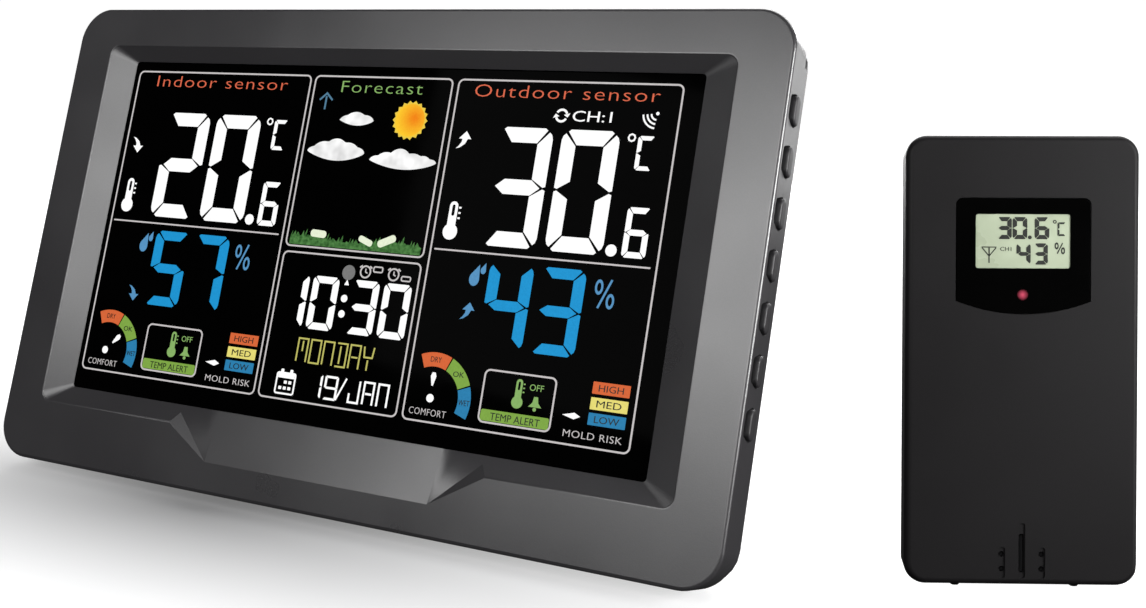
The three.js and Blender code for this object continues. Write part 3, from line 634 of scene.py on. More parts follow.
KEY_HEIGHTS = [KEY_TOP - index * KEY_PITCH for index in range(KEY_COUNT)]
bezel = place("bezel_shell", front_bezel(), CONSOLE)
carve(bezel, [scoop_tool()] + [key_slot(middle) for middle in KEY_HEIGHTS], CONSOLE)
soften(bezel, 0.2, 10.2, segments=3, flat_area=25)
dress(bezel, HOUSING, "console", "housing", "front_bezel")

for number, middle in enumerate(KEY_HEIGHTS, 1):
    cap, node = key_cap(middle), f"side_button_{number}"
    rounded_piece(f"side_key_{number}", cap, CONSOLE, 0.06, 50, KEY_PLASTIC, f"{node}_cap", "buttons", node)

softened_node("rear_cover", "cover_shell", 0.35, HOUSING, "console", "housing")
softened_node("battery_door", "battery_lid", 0.25, HOUSING, "battery_door_body", "housing")
softened_node("table_stand", "fold_out_stand", 0.4, HOUSING, "table_stand_body", "housing")
softened_node("dc_jack", "power_jack", 0.15, COMPONENT, "console", "black_component")
for side in ("left", "right"):
    softened_node(f"rubber_foot_{side}", f"rubber_pad_{side}", 0.12, RUBBER, "console", "foot_rubber")
for index in (1, 2, 3):
    softened_node(f"battery_{index}", f"console_cell_{index}", 0.3, CELL_WRAP, "console", "battery_wrap")


# ======================= Sensor housing =======================
def sensor_outline(inset, depth):
    return rounded(
        SENSOR_WIDTH / 2 - inset, inset, SENSOR_HEIGHT - inset, SENSOR_CORNER - inset * 0.9, depth
    )


def sensor_front():
    """The front half shell, skinned from its inner face round its rim to its outer face."""
    inner_seam = SENSOR_WALL + SENSOR_SEAM_INSET + 0.1
    rings = [
        sensor_outline(SENSOR_WALL + 0.1, SENSOR_FRONT),
        sensor_outline(inner_seam, SENSOR_SEAM),
        sensor_outline(SENSOR_SEAM_INSET + 0.2, SENSOR_SEAM),
        sensor_outline(SENSOR_SEAM_INSET, SENSOR_SEAM - 0.2),
    ]
    for cos, sin in arc(0, 0, 1, 90, 0, SENSOR_EDGE["steps"]):
        rings.append(sensor_outline(SENSOR_EDGE["inset"] * (1 - sin), SENSOR_EDGE["depth"] * (1 - cos)))
    return loft(rings)


def shield_outline(grow=0.0):
    """A rounded top, straight sides and a shallow curved tip."""
    half, top, corner = SHIELD["half"] + grow, SHIELD["top"] + grow, SHIELD["corner"]
    points = arc(half - corner, top - corner, corner, 0, 90, 6)
    points += arc(corner - half, top - corner, corner, 90, 180, 6)
    tip = SHIELD["tip"] - 2 * grow
    for step in range(SHIELD_STEPS + 1):
        along = step / SHIELD_STEPS
        sag = 2 * along * (1 - along) * (tip - SHIELD["side"])
        points.append((-half + 2 * half * along, SHIELD["side"] + sag))
    return points


def lcd_window(grow=0.0):
    half, low, high = SENSOR_LCD["half"] + grow, SENSOR_LCD["low"] - grow, SENSOR_LCD["high"] + grow
    return round_box(-half, half, low, high, 0.5)


def vents(play):
    """The air slot and the two columns of holes, smaller all round by some play."""
    half, high = VENT_SLOT["half"] - play, VENT_SLOT["high"] - play
    outlines = [round_box(-half, half, VENT_SLOT["low"] + play, high, VENT_SLOT["corner"] - play)]
    for side in (-1, 1):
        outlines += [disc(side * HOLE_SPREAD, z, HOLE_RADIUS - play) for z in HOLE_HEIGHTS]
    return [[outline] for outline in outlines]


shell = place("sensor_shell", sensor_front(), SENSOR)
grooves = [
    [round_box(x - GROOVE["half"], x + GROOVE["half"], GROOVE["low"], top, GROOVE["corner"])]
    for x, top in GROOVE_TOPS
]
carve(
    shell,
    [
        prism([[shield_outline(GAP * 0.6)]], -THROUGH, 1.3),
        prism([[lcd_window(0.3)]], 0, SENSOR_FRONT + THROUGH),
        prism(grooves, -THROUGH, GROOVE["depth"]),
        prism(vents(0), -THROUGH, SENSOR_FRONT + THROUGH),
    ],
    SENSOR,
)
soften(shell, 0.12, 24)
dress(shell, CHARCOAL, "outdoor_sensor", "sensor_housing", "sensor_front_shell")
# Dark plates set in the vent holes: painted shade for the sensor's dark inside
shade_plates = place("vent_shade_plates", prism(vents(SHADE_PLATE_PLAY), *SHADE_PLATE_DEPTHS), SENSOR)
dress(shade_plates, COMPONENT, "outdoor_sensor", "black_component")


def sensor_foot(side):
    """A small tapered foot under the front shell, cut level with the table."""
    lean = Vector(JOINTS["sensor_battery_door_slide"]["axis"])
    slope = math.sqrt(1 - lean.z**2) / lean.z
    rings = []
    for share in (0, 0.5, 0.85, 1):
        ring = []
        for x, _, z in rounded(1.8 - 0.9 * share, -1.9 + 0.5 * share, 1.9 - 0.5 * share, 0.7, 0, 5):
            depth = FOOT["depth"] + z
            drop_to = (depth - FOOT["level_depth"]) * slope
            height = FOOT["top"] + (drop_to - FOOT["top"]) * share
            ring.append(Vector((side * FOOT["spread"] + x, depth, height)))
        rings.append(ring)
    return loft(rings)


for side, label in ((-1, "left"), (1, "right")):
    foot = (f"sensor_foot_{label}", sensor_foot(side), SENSOR, 0.08, 40)
    rounded_piece(*foot, CHARCOAL, "outdoor_sensor", "sensor_housing")
shield = ("sensor_shield", prism([[shield_outline(), lcd_window()]], SHIELD_FRONT, 1.0), SENSOR, 0.1, 40)
rounded_piece(*shield, SHIELD_LENS, "outdoor_sensor", "sensor_lens", "sensor_window")
panel = ("sensor_reading_panel", prism([[lcd_window(-0.08)]], PANEL_FRONT, 0.95), SENSOR, 0.05, 40)
rounded_piece(*panel, PALE_GLASS, "outdoor_sensor", "sensor_display")

for node, name, width, body in (
    ("sensor_rear_shell", "sensor_back", 0.3, "outdoor_sensor"),
    ("sensor_battery_door", "sensor_battery_lid", 0.2, "sensor_battery_door_body"),
    ("sensor_stand", "sensor_fold_out_leg", 0.3, "sensor_stand_body"),
):
    softened_node(node, name, width, CHARCOAL, body, "sensor_housing")
softened_node("channel_switch", "channel_slider", 0.15, COMPONENT, "channel_switch_body", "black_component")
softened_node("transmit_button", "send_button", 0.25, COMPONENT, "transmit_button_body", "black_component")
for index in (1, 2):
    cell = f"sensor_cell_{index}"
    softened_node(f"sensor_battery_{index}", cell, 0.3, CELL_WRAP, "outdoor_sensor", "battery_wrap")


# ======================= Display figures =======================
# Each display's front depth, its frame, its body and its slot
DISPLAYS = {
    "console": (LENS_FRONT, CONSOLE, "console", "display_panel"),
    "sensor": (PANEL_FRONT, SENSOR, "outdoor_sensor", "sensor_display"),
    "shield": (SHIELD_FRONT, SENSOR, "outdoor_sensor", "indicator_led"),
}


def figure_depths(unit, layer):
    """Front and back depth of a figure: a hair proud of its display, and just inside it."""
    base = DISPLAYS[unit][0]
    return base - FIGURE_PROUD * (1 + layer), base - FIGURE_SUNK


def show(name, mesh, material, unit):
    _, where, body, slot = DISPLAYS[unit]
    dress(place(name, mesh, where), material, body, slot)


def figure(name, shapes, material, layer=0, unit="console"):
    """Thin closed plates on a display."""
    show(name, prism(shapes, *figure_depths(unit, layer)), material, unit)


def words(name, text, box, material, layer=0, unit="console", thin=0.0):
    """Generic wording in the built-in face, fitted to a box (left, right, low, high); thin lightens it."""
    curve = bpy.data.curves.new(name, "FONT")
    curve.body = text
    curve.extrude = 0.5
    curve.resolution_u = 3
    curve.offset = -thin
    curve.space_character = 1 + 8 * thin
    source = bpy.data.objects.new(name, curve)
    bpy.context.scene.collection.objects.link(source)
    graph = bpy.context.evaluated_depsgraph_get()
    mesh = bpy.data.meshes.new_from_object(source.evaluated_get(graph))
    bpy.data.objects.remove(source)
    low = Vector([min(v.co[axis] for v in mesh.vertices) for axis in range(3)])
    high = Vector([max(v.co[axis] for v in mesh.vertices) for axis in range(3)])
    left, right, bottom, top = box
    across = (right - left) / (high.x - low.x)
    tall = (top - bottom) / (high.y - low.y)
    front, back = figure_depths(unit, layer)
    for vertex in mesh.vertices:
        x, y, z = vertex.co
        vertex.co = (left + (x - low.x) * across, front if z > 0 else back, bottom + (y - low.y) * tall)
    bm = bmesh.new()
    bm.from_mesh(mesh)
    show(name, finish_bmesh(bm, mesh, 1e-4), material, unit)


def ribbon(points, width, closed=False):
    """Outline of a line of even width along some points: one loop, or two where it closes on itself."""
    path = [Vector(point) for point in points]
    count = len(path)
    sides = ([], [])
    for index, point in enumerate(path):
        before = path[index - 1] if closed or index else None
        after = path[(index + 1) % count] if closed or index < count - 1 else None
        along_in = (point - before).normalized() if before is not None else (after - point).normalized()
        along_out = (after - point).normalized() if after is not None else along_in
        middle = (along_in + along_out).normalized()
        normal = Vector((-middle.y, middle.x))
        reach = width / 2 / max(0.35, abs(normal.dot(Vector((-along_in.y, along_in.x)))))
        sides[0].append(tuple(point + normal * reach))
        sides[1].append(tuple(point - normal * reach))
    if closed:
        return [sides[0], sides[1]]
    return [sides[0] + sides[1][::-1]]


def frame_line(x0, x1, z0, z1, radius=1.4, width=LINE):
    half = width / 2
    return [
        round_box(x0 - half, x1 + half, z0 - half, z1 + half, radius + half),
        round_box(x0 + half, x1 - half, z0 + half, z1 - half, radius - half),
    ]


# Lit segments of each character: a to f run clockwise from the top bar, and g is the middle bar
SEGMENTS = {"0": "abcdef", "1": "bc", "2": "abged", "3": "abgcd", "4": "fgbc", "5": "afgcd"}
SEGMENTS.update({"6": "afgedc", "7": "abc", "9": "abcdfg", "C": "afed"})


def digit(character, x, z, wide, tall, upright, level, gap):
    """Segments of one character in the box from (x, z): upright and level are the stroke widths."""
    corner, middle = upright * 0.3, tall / 2

    def mirrored(loop):
        return [(wide - px, pz) for px, pz in loop]

    def upended(loop):
        return [(px, tall - pz) for px, pz in loop]

    def level_bar(tip, upper, lower):
        return [tip, upper] + mirrored([upper, tip, lower]) + [lower]

    bar = level_bar(
        (corner + gap, tall - corner * 0.45),
        (corner * 1.75 + gap * 0.5, tall),
        (upright + gap * 0.5, tall - level),
    )
    link = level_bar(
        (corner * 0.9 + gap, middle), (upright, middle + level / 2), (upright, middle - level / 2)
    )
    post = [
        (0, tall - corner * 2.3),
        (corner * 0.3, tall - corner * 1.35),
        (corner * 0.85, tall - corner * 0.85),
        (upright, tall - level - gap * 0.7),
        (upright, middle + level / 2 + gap * 0.6),
        (corner * 0.6, middle + gap * 0.5),
        (0, middle + gap * 1.1),
    ]
    made = {
        "a": bar,
        "b": mirrored(post),
        "c": mirrored(upended(post)),
        "d": upended(bar),
        "e": upended(post),
        "f": post,
        "g": link,
    }
    return [[[(x + px, z + pz) for px, pz in made[key]]] for key in SEGMENTS[character]]


def digits(text, x, z, pitch, wide, tall, upright, level, gap):
    return [
        shape
        for index, character in enumerate(text)
        for shape in digit(character, x + index * pitch, z, wide, tall, upright, level, gap)
    ]


LETTERS = {
    "M": [[(0, 0), (0, 1), (1, 1), (1, 0)], [(0.5, 0.9), (0.5, 0.45)]],
    "O": [[(0, 0), (0, 1), (1, 1), (1, 0), (0, 0)]],
    "N": [[(0, 0), (0, 1), (1, 1), (1, 0)]],
    "D": [[(0, 1), (1, 1), (1, 0), (0, 0)], [(0.35, 0.88), (0.35, 0.12)]],
    "A": [[(0, 0), (0, 1), (1, 1), (1, 0)], [(0.18, 0.48), (0.82, 0.48)]],
    "Y": [[(0, 1), (0.1, 0.55), (0.9, 0.55), (1, 1)], [(0.5, 0.44), (0.5, 0)]],
    "J": [[(1, 1), (1, 0), (0, 0), (0, 0.4)]],
}


def letters(text, x, z, pitch, wide, tall, width):
    """Thin segment letters."""
    shapes = []
    for index, character in enumerate(text):
        for stroke in LETTERS[character]:
            points = [(x + index * pitch + px * wide, z + pz * tall) for px, pz in stroke]
            closed = points[0] == points[-1]
            shapes.append(ribbon(points[:-1] if closed else points, width, closed))
    return shapes


def thermometer(x, z, scale=1.0):
    """Bulb, stem with an open top, and three marks beside it."""
    bulb, stem, tall = 2.0 * scale, 1.15 * scale, 7.5 * scale
    neck = math.degrees(math.asin(stem / bulb))
    outline = arc(x, z, bulb, 90 + neck, 450 - neck, 20) + arc(x, z + tall - stem, stem, 0, 180, 8)
    bore = round_box(x - 0.42 * scale, x + 0.42 * scale, z + 3.9 * scale, z + 6.7 * scale, 0.4 * scale)
    marks = [
        [round_box(x + 1.45 * scale, x + 2.1 * scale, z + up * scale, z + (up + 0.45) * scale, 0.1)]
        for up in (3.2, 4.5, 5.8)
    ]
    return [[outline, bore]] + marks


def trend_arrow(x, z, up, scale=1.0):
    """A curved arrow that swings up or down."""
    tail = [(-2.2, -2.0), (-1.2, -1.75), (0.1, -0.8), (0.75, 0.45)]
    head = [(1.7, 0.4), (0.1, 2.4), (-1.75, 0.5), (-0.75, 0.45)]
    inner = [(-0.85, -0.35), (-1.5, -1.35)]
    turn = 1 if up else -1
    return [[[(x + px * scale, z + turn * pz * scale) for px, pz in tail + head + inner]]]


def drop(x, z, radius):
    """A water drop with its tip leaning right."""
    return [arc(x, z, radius, 125, 375, 16, 1.25) + [(x + radius * 0.75, z + radius * 2.6)]]


def percent(x, z, wide=5.1, tall=6.7, width=0.5):
    """Two upright ovals and a slanted stroke."""
    shapes, radius, stretch = [], wide * 0.2, 1.75
    for at_x, at_z in ((0.2, 0.72), (0.82, 0.26)):
        centre = (x + at_x * wide, z + at_z * tall)
        bore = disc(*centre, radius - width, 16, stretch + width * 0.6)
        shapes.append([disc(*centre, radius, 16, stretch), bore])
    return shapes + [ribbon([(x + wide * 0.26, z), (x + wide * 0.78, z + tall)], width)]


def arc_band(x, z, inner, outer, start, end, steps=14):
    return [arc(x, z, outer, start, end, steps) + arc(x, z, inner, start, end, steps)[::-1]]


def cloud(x, z, wide, tall, domes):
    """A cloud with pointed ends: domes (middle, reach, height) above, one shallow curve below."""
    above, below = [], []
    for across, _ in arc(0, 0, 1, 0, 180, CLOUD_STEPS):
        taper = (1 - across**2) ** 0.55
        rise = max(height * max(0, 1 - ((across - at) / reach) ** 2) ** 0.6 for at, reach, height in domes)
        sag = 0.42 * taper * (1 - 0.35 * (across - 0.12) ** 2)  # deepest a little to the right
        above.append((x + wide / 2 * across, z + tall * (0.1 * taper + 0.5 * rise)))
        below.append((x + wide / 2 * across, z - tall * sag))
    return [above + below[-2:0:-1]]


def bell(x, z):
    """A round alarm symbol with two feet."""
    shapes = [[disc(x, z, 1.65, 20), disc(x, z, 1.25, 20)]]
    for side in (-1, 1):
        shapes.append(ribbon([(x + side * 1.1, z + 1.5), (x + side * 1.8, z + 1.0)], 0.4))
    shapes.append(ribbon([(x, z + 0.8), (x, z), (x + 0.6, z - 0.3)], 0.32))
    return shapes


PANES = {
    "indoor": (-83.2, -24.3, 26.6, 110.8),
    "forecast": (-22.8, 18.6, 65.7, 110.8),
    "clock": (-22.8, 18.6, 26.6, 64.1),
    "outdoor": (20.4, 79.4, 26.6, 110.8),
}
BIG = {"wide": 14.8, "tall": 29.2, "upright": 3.8, "level": 3.7, "gap": 0.42}
MID = {"wide": 11.7, "tall": 20.3, "upright": 3.0, "level": 2.5, "gap": 0.32}
SMALL = {"wide": 5.9, "tall": 11.7, "upright": 1.4, "level": 1.4, "gap": 0.16}
CLOCK_DIGIT = {"wide": 7.9, "tall": 13.6, "upright": 1.85, "level": 1.75, "gap": 0.24}
DATE_DIGIT = {"wide": 4.0, "tall": 6.0, "upright": 0.62, "level": 0.58, "gap": 0.08}

figure("pane_lines", [frame_line(*pane) for pane in PANES.values()], SOFT_WHITE)
figure(
    "pane_dividers",
    [[round_box(-82.2, -25.6, 68.0, 68.4, 0.15)], [round_box(21.4, 77.9, 68.0, 68.4, 0.15)]],
    SOFT_WHITE,
)


def climate_pane(name, title, title_box, x, reading, humidity, humidity_x, rising):
    """One measuring pane; x is the left edge of its tenths digit."""
    words(f"{name}_title", title, title_box, RED_LABEL, thin=0.014)
    left = PANES[name][0]
    drop_x = left + 13.3
    shapes = digits(reading[:2], x - 36.6, READING_Z, 17.15, **BIG)
    shapes += digit(reading[2], x, READING_Z, **SMALL)
    shapes += [[disc(x - 2.6, 71.45, 1.4)], [disc(x - 1.75, 98.0, 1.05, 8), disc(x - 1.75, 98.0, 0.62, 8)]]
    shapes += digit("C", x - 0.1, 90.4, 4.3, 8.1, 1.05, 1.0, 0.12)
    figure(f"{name}_temperature", shapes, WHITE)
    figure(f"{name}_thermometer", thermometer(left + 4.5, 72.7), WHITE)
    figure(f"{name}_trend", trend_arrow(left + 4.4, 95.4 if rising else 89.9, rising), WHITE)
    figure(f"{name}_humidity", digits(humidity, humidity_x, 46.0, 13.5, **MID), BLUE)
    figure(f"{name}_percent", percent(x - 5.1, 58.0), PALE_BLUE)
    moisture = [drop(drop_x, 61.8, 1.35), drop(drop_x + 2.1, 64.0, 0.7)]
    moisture += trend_arrow(drop_x - 0.1, 53.8 if rising else 48.8, rising, 0.95)
    figure(f"{name}_moisture", moisture, PALE_BLUE)


def comfort_gauge(name, x, content):
    """A three-part arc with its pointer: across the good part, or upright."""
    z, inner, outer = 32.3, 7.6, 11.0
    for part, start, end, finish in (
        ("high", 113, 67.5, ORANGE),
        ("good", 65.5, 23, GREEN),
        ("low", 21, -20, SCALE_BLUE),
    ):
        figure(f"{name}_gauge_{part}", [arc_band(x, z, inner, outer, start, end)], finish)
    base, shoulder, tip = 3.0, 5.3, 6.2
    half = [(base, -0.2), (shoulder, -0.75), (tip, -0.4)]
    needle = half + [(along, -across) for along, across in half[::-1]]
    pointer = [[disc(x, z, 1.0)], [swung(needle, x, z, 45 if content else 90)]]
    figure(f"{name}_pointer", pointer, WHITE)
    words(f"{name}_comfort", "COMFORT", (x - 5.2, x + 5.0, 28.1, 29.7), SOFT_WHITE, thin=0.01)
    for part, text, angle in (("dry", "DRY", 90), ("fit", "OK", 44), ("wet", "WET", 0)):
        at_x, at_z = around(x, z, (inner + outer) / 2, angle)
        words(f"{name}_{part}", text, (at_x - 1.5, at_x + 1.5, at_z - 0.65, at_z + 0.65), INK, layer=1)


def alert_box(name, x):
    """The temperature alert: thermometer, state and bell over a green band."""
    left, right, low, high = x, x + 18.5, 28.7, 40.9
    figure(f"{name}_alert_frame", [frame_line(left, right, low, high, 1.3)], SOFT_WHITE)
    figure(f"{name}_alert_band", [[round_box(left + 0.4, right - 0.4, low + 0.35, 31.7, 0.5)]], GREEN)
    words(f"{name}_alert_words", "TEMP ALERT", (left + 3.0, right - 2.6, 29.4, 31.1), INK, layer=1)
    figure(f"{name}_alert_thermometer", thermometer(left + 9.3, 34.3, 0.72), GREEN_LABEL)
    words(f"{name}_alert_state", "OFF", (left + 12.0, left + 15.6, 37.4, 38.9), GREEN_LABEL)
    bell_x = left + 14.0
    dome = [(-1.7, -0.9), (-0.75, 0.1), (-0.5, 1.5), (0.5, 1.5), (0.75, 0.1), (1.7, -0.9)]
    alarm = [[[(bell_x + px, 34.6 + pz) for px, pz in dome]], [disc(bell_x, 33.2, 0.45, 12)]]
    figure(f"{name}_alert_bell", alarm, GREEN_LABEL)


def risk_scale(name, x):
    """Three level bars with a pointer at the lowest."""
    for level, (text, low, finish) in enumerate(
        (("HIGH", 38.7, ORANGE), ("MED", 35.15, YELLOW), ("LOW", 31.65, SCALE_BLUE))
    ):
        figure(f"{name}_bar_{level}", [[round_box(x, x + 9.1, low, low + 2.75, 0.15)]], finish)
        words(f"{name}_bar_text_{level}", text, (x + 1.5, x + 7.6, low + 0.6, low + 2.15), INK, layer=1)
    tip = x - 6.5
    figure(
        f"{name}_scale_pointer",
        [[[(tip, 33.1), (tip + 3.0, 32.35), (tip + 4.5, 33.1), (tip + 3.0, 33.85)]]],
        WHITE,
    )
    words(f"{name}_risk_words", "MOLD RISK", (x - 5.6, x + 8.9, 28.3, 29.9), SOFT_WHITE, thin=0.008)


climate_pane("indoor", "Indoor sensor", (-76.3, -31.5, 106.6, 109.7), -33.25, "206", "57", -66.0, False)
climate_pane("outdoor", "Outdoor sensor", (25.3, 74.0, 106.6, 109.7), 70.3, "306", "43", 37.5, True)
comfort_gauge("indoor", -76.2, True)
comfort_gauge("outdoor", 27.2, False)
alert_box("indoor", -62.6)
alert_box("outdoor", 40.9)
risk_scale("indoor", -34.9)
risk_scale("outdoor", 68.5)

# Outdoor pane: channel and reception
words("channel_words", "CH:1", (52.7, 62.8, 101.3, 103.9), WHITE)
CYCLE_AT, CYCLE_STARTS, CYCLE_TIP = (49.8, 102.6), (20, 200), 0.85
cycle = [arc_band(*CYCLE_AT, 1.15, 1.7, start, start + 130, 10) for start in CYCLE_STARTS]
for start in CYCLE_STARTS:
    head = around(*CYCLE_AT, 1.42, start - 4)
    cycle.append([swung([(CYCLE_TIP, 0), (0, -CYCLE_TIP), (-CYCLE_TIP, 0)], *head, start - 4)])
figure("channel_cycle", cycle, WHITE)
WAVES_AT = (74.0, 103.9)
waves = [arc_band(*WAVES_AT, reach, reach + 0.42, 186, 264, 8) for reach in (1.3, 2.3, 3.3)]
figure("reception_waves", waves + [[disc(*WAVES_AT, 0.42, 10)]], WHITE)

# Forecast pane
words("forecast_title", "Forecast", (-14.2, 10.3, 106.6, 109.6), GREEN_LABEL, thin=0.014)
PRESSURE_X = -18.4
pressure = [
    ribbon([(PRESSURE_X, 101.9), (PRESSURE_X, 105.4)], 0.5),
    ribbon([(PRESSURE_X - 2, 104.4), (PRESSURE_X, 106.2), (PRESSURE_X + 2, 104.4)], 0.5),
]
figure("pressure_arrow", pressure, TEAL)
SUN_AT, SUN_RADIUS, SUN_RAY_COUNT = (8.1, 99.9), 4.25, 36
SUN = glowing_ball(
    "sun_orange", CONSOLE @ Vector((SUN_AT[0] + 1.3, LENS_FRONT, SUN_AT[1] + 0.6)), 5.4, "#ec7f12", "#f6c62c"
)
rays = [
    around(*SUN_AT, SUN_RADIUS + (0.2 if step % 2 else 0.85), step * 360 / SUN_RAY_COUNT)
    for step in range(SUN_RAY_COUNT)
]
figure("sun_rays", [[rays]], SUN_RAYS)
figure("sun_disc", [[disc(*SUN_AT, SUN_RADIUS, 40)]], SUN, layer=1)
# Each cloud's domes: middle, reach and height, as shares of its half width and height
SMALL_CLOUD = ((-0.05, 0.62, 1.0), (-0.45, 0.5, 0.55), (0.5, 0.48, 0.6))
LEFT_CLOUD = ((0, 0.42, 1.0), (-0.42, 0.4, 0.72), (0.42, 0.38, 0.7), (-0.72, 0.27, 0.3), (0.74, 0.25, 0.35))
RIGHT_CLOUD = (
    (-0.1, 0.34, 1.0),
    (-0.5, 0.3, 0.62),
    (0.3, 0.3, 0.6),
    (0.62, 0.2, 0.45),
    (-0.8, 0.19, 0.3),
    (0.84, 0.15, 0.2),
)
figure("cloud_small", [cloud(-7.9, 99.4, 10.4, 3.5, SMALL_CLOUD)], CLOUD)
figure("cloud_left", [cloud(-12.6, 90.9, 17.6, 5.7, LEFT_CLOUD)], CLOUD)
figure("cloud_right", [cloud(7.9, 89.4, 19.6, 5.2, RIGHT_CLOUD)], CLOUD)
GRASS_BASE, GRASS_LEFT, GRASS_RIGHT, BLADES = 66.15, -21.8, 17.6, 46
blades = [(GRASS_LEFT, GRASS_BASE)]
for index in range(2 * BLADES + 1):
    along = index / (2 * BLADES)
    sway = math.sin(index * 2.4) + 0.6 * math.sin(index * 5.1 + 1)
    hill = 1.9 + 0.5 * math.sin(along * 9 + 0.6)
    tip = hill + 0.9 + 0.7 * sway if index % 2 else hill + 0.15 * sway
    blades.append((GRASS_LEFT + (GRASS_RIGHT - GRASS_LEFT) * along + 0.25 * sway, GRASS_BASE + tip))
blades.append((GRASS_RIGHT, GRASS_BASE))
figure("grass_strip", [[blades]], GRASS)
# Each pebble's middle, width, height and tilt in degrees
PEBBLES = {
    "a": (-13.2, 69.3, 4.8, 1.9, -3),
    "b": (1.3, 68.5, 4.4, 1.6, -20),
    "c": (7.5, 68.9, 5.4, 1.9, 24),
}
for label, (x, z, wide, tall, tilt) in PEBBLES.items():
    stone = swung(round_box(-wide / 2, wide / 2, -tall / 2, tall / 2, tall * 0.45), x, z, tilt)
    figure(f"pebble_{label}", [[stone]], PEBBLE, layer=1)

# Clock pane
CLOCK_Z, COLON_X = 45.0, -2.0
clock = []
for character, x in (("1", -21.2), ("0", -12.1), ("3", -0.1), ("0", 9.2)):
    clock += digit(character, x, CLOCK_Z, **CLOCK_DIGIT)
clock += [[disc(COLON_X, 53.6, 0.95)], [disc(COLON_X, 49.7, 0.95)]]
figure("clock_time", clock, WHITE)
figure("clock_reception", [[disc(-2.0, 60.2, 1.9)]], GREY)
figure("clock_mast", [[[(-2.7, 57.0), (-1.3, 57.0), (-2.0, 58.4)]]], WHITE)
figure("alarm_one", bell(2.9, 60.8), SOFT_WHITE)
figure("alarm_two", bell(11.2, 60.8), SOFT_WHITE)
alarm_marks = [frame_line(5.2, 7.8, 61.0, 62.3, 0.4, 0.35), frame_line(13.6, 16.2, 59.5, 60.6, 0.4, 0.35)]
figure("alarm_marks", alarm_marks, SOFT_WHITE)
figure("weekday", letters("MONDAY", -13.2, 36.6, 3.95, 2.9, 5.8, 0.42), DAY_YELLOW)
figure("date_day", digits("19", -8.0, 28.1, 4.7, **DATE_DIGIT), WHITE)
figure("date_slash", [ribbon([(0.6, 28.4), (3.0, 34.0)], 0.48)], WHITE)
figure("date_month", letters("JAN", 4.3, 28.4, 4.15, 2.8, 5.4, 0.52), WHITE)
calendar = [frame_line(-17.9, -12.3, 28.0, 33.2, 0.5, 0.45), [round_box(-17.6, -12.6, 31.9, 33.0, 0.1)]]
calendar += [[round_box(x - 0.45, x + 0.45, 33.1, 34.2, 0.3)] for x in (-16.5, -13.7)]
calendar += [
    [round_box(x - 0.45, x + 0.45, z - 0.4, z + 0.4, 0.1)]
    for x in (-16.5, -15.1, -13.7)
    for z in (30.9, 29.4)
    if (x, z) != (-16.5, 30.9)
]
figure("calendar", calendar, WHITE)


# ======================= Sensor display =======================
ROW = {"wide": 3.15, "tall": 4.8, "upright": 0.95, "level": 0.92, "gap": 0.07}
LOWER_ROW = {"wide": 3.05, "tall": 4.6, "upright": 0.92, "level": 0.86, "gap": 0.07}
shown = digits("30", -5.6, 75.1, 3.35, **ROW) + digit("6", 2.5, 75.1, **ROW)
shown += [[disc(1.45, 75.5, 0.42)], [disc(6.8, 78.9, 0.42, 10), disc(6.8, 78.9, 0.2, 10)]]
shown += digit("C", 7.4, 75.8, 1.8, 3.0, 0.42, 0.42, 0.05)
shown += digit("4", -1.4, 69.6, **LOWER_ROW) + digit("3", 2.3, 69.6, **LOWER_ROW)
shown += percent(6.8, 72.0, 2.2, 2.3, 0.24)
figure("sensor_figures", shown, INK, unit="sensor")
MAST_X, MAST_TOP = -7.3, 73.2
mast = [
    ribbon([(MAST_X, 69.9), (MAST_X, MAST_TOP)], 0.25),
    ribbon([(MAST_X - 1.5, MAST_TOP), (MAST_X, 71.4), (MAST_X + 1.5, MAST_TOP)], 0.22),
    ribbon([(-8.9, 73.35), (-5.7, 73.35)], 0.22),
]
figure("sensor_mast", mast, INK, unit="sensor")
words("sensor_channel", "CH1", (-4.9, -2.5, 72.5, 73.4), INK, unit="sensor")
STATUS_GLOW = glowing_ball(
    "status_light", SENSOR @ Vector((LED_X, 0.05, LED_Z)), LED_RADIUS, "#d2506a", "#230507"
)
figure("status_light", [[disc(LED_X, LED_Z, LED_RADIUS)]], STATUS_GLOW, unit="shield")


# ======================= Stage =======================
def floor_mesh():
    """A round table top that curves up far away, so that it fills the view."""
    bm = bmesh.new()
    rows = []
    for reach, rise in FLOOR_PROFILE:
        rows.append([bm.verts.new((x, y, rise)) for x, y in disc(0, 0, reach, FLOOR_SPOKES)])
    bm.faces.new(rows[0])
    for lower, upper in zip(rows, rows[1:]):
        for k in range(FLOOR_SPOKES):
            following = (k + 1) % FLOOR_SPOKES
            bm.faces.new((lower[k], lower[following], upper[following], upper[k]))
    return finish_bmesh(bm, bpy.data.meshes.new("floor"), SAME_POINT)


def pale_floor():
    """White table top that glows evenly, except for a painted shadow under the console's front edge, where
    its glow fades out.
    """
    finish = Finish("pale_floor", 0.6, specular=0.1)
    finish.shader.inputs["Emission Color"].default_value = (1, 1, 1, 1)
    # Painted shadow: the glow fades to almost nothing under the console's front edge
    offset = finish.node("ShaderNodeVectorMath", {0: finish.place, 1: PAINTED_SHADOW_SPOT}, operation="SUBTRACT")
    narrowed = finish.node(
        "ShaderNodeVectorMath", {0: offset.outputs["Vector"], 1: PAINTED_SHADOW_NARROWING}, operation="MULTIPLY"
    )
    reach = finish.node("ShaderNodeVectorMath", {0: narrowed.outputs["Vector"]}, operation="LENGTH")
    glow = finish.spread(reach.outputs["Value"], *FLOOR_GLOW, (0.0, PAINTED_SHADOW_REACH))
    finish.link(glow, "Emission Strength")
    return finish.done(finish.ramp(finish.noise(60, 3), [(0.3, FLOOR_DARK), (0.7, FLOOR_LIGHT)]))


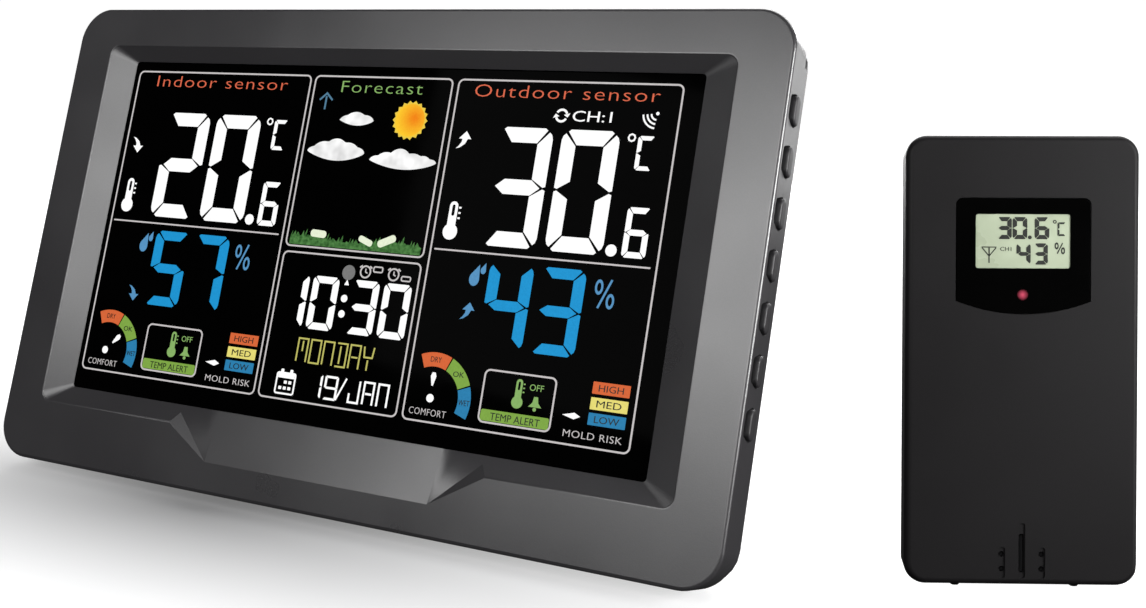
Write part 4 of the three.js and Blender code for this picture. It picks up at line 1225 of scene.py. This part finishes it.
floor = place("floor", floor_mesh(), Matrix.Identity(4))
for polygon in floor.data.polygons:
    polygon.use_smooth = True
floor.data.materials.append(pale_floor())
floor.visible_diffuse = False  # its glow doesn't light the object from below
floor.visible_glossy = False

middle = CONSOLE @ Vector((0, 0, 0))
stand_point = Vector((middle.x, middle.y, 0))


def softbox(name, place_mm, aim_mm, size, power):
    """A soft rectangular light, placed and aimed from the console's front bottom edge."""
    light = bpy.data.lights.new(name, "AREA")
    light.shape = "RECTANGLE"
    light.size, light.size_y = size[0] * MM, size[1] * MM
    light.energy = power
    obj = bpy.data.objects.new(name, light)
    obj.location = stand_point + Vector(place_mm) * MM
    aim = stand_point + Vector(aim_mm) * MM - obj.location
    obj.rotation_euler = aim.to_track_quat("-Z", "Y").to_euler()
    bpy.context.scene.collection.objects.link(obj)


softbox("key_light", (120, -492, 370), (30, 20, 80), (250, 250), 1.6)
softbox("wide_light", (-165, -490, 375), (0, 0, 75), (370, 255), 1.25)
softbox("edge_light", (360, 560, 75), (90, 20, 60), (320, 150), 0.3)
softbox("rear_fill", (-150, 650, 150), (0, 30, 60), (600, 300), 4)
softbox("side_light", (520, -20, 190), (30, 20, 80), (200, 200), 3)
softbox("back_light", (100, 700, 800), (80, 60, 0), (1100, 700), 9)

world = bpy.data.worlds.new("studio")
bpy.context.scene.world = world
world.use_nodes = True
background = world.node_tree.nodes["Background"].inputs
background["Color"].default_value = (1, 1, 1, 1)
background["Strength"].default_value = WORLD_LIGHT

camera_data = bpy.data.cameras.new("camera")
camera_data.lens = CAMERA["lens"]
camera_data.sensor_width = CAMERA["sensor"]
camera_data.clip_start, camera_data.clip_end = CAMERA["clip"]
camera = bpy.data.objects.new("camera", camera_data)
camera.location = stand_point + Vector((CAMERA["across"], CAMERA["ahead"], CAMERA["up"])) * MM
camera.rotation_euler = (math.radians(90 - CAMERA["tilt"]), 0, math.radians(CAMERA["turn"]))
bpy.context.scene.collection.objects.link(camera)
bpy.context.scene.camera = camera
bpy.context.scene.view_settings.view_transform = "Standard"
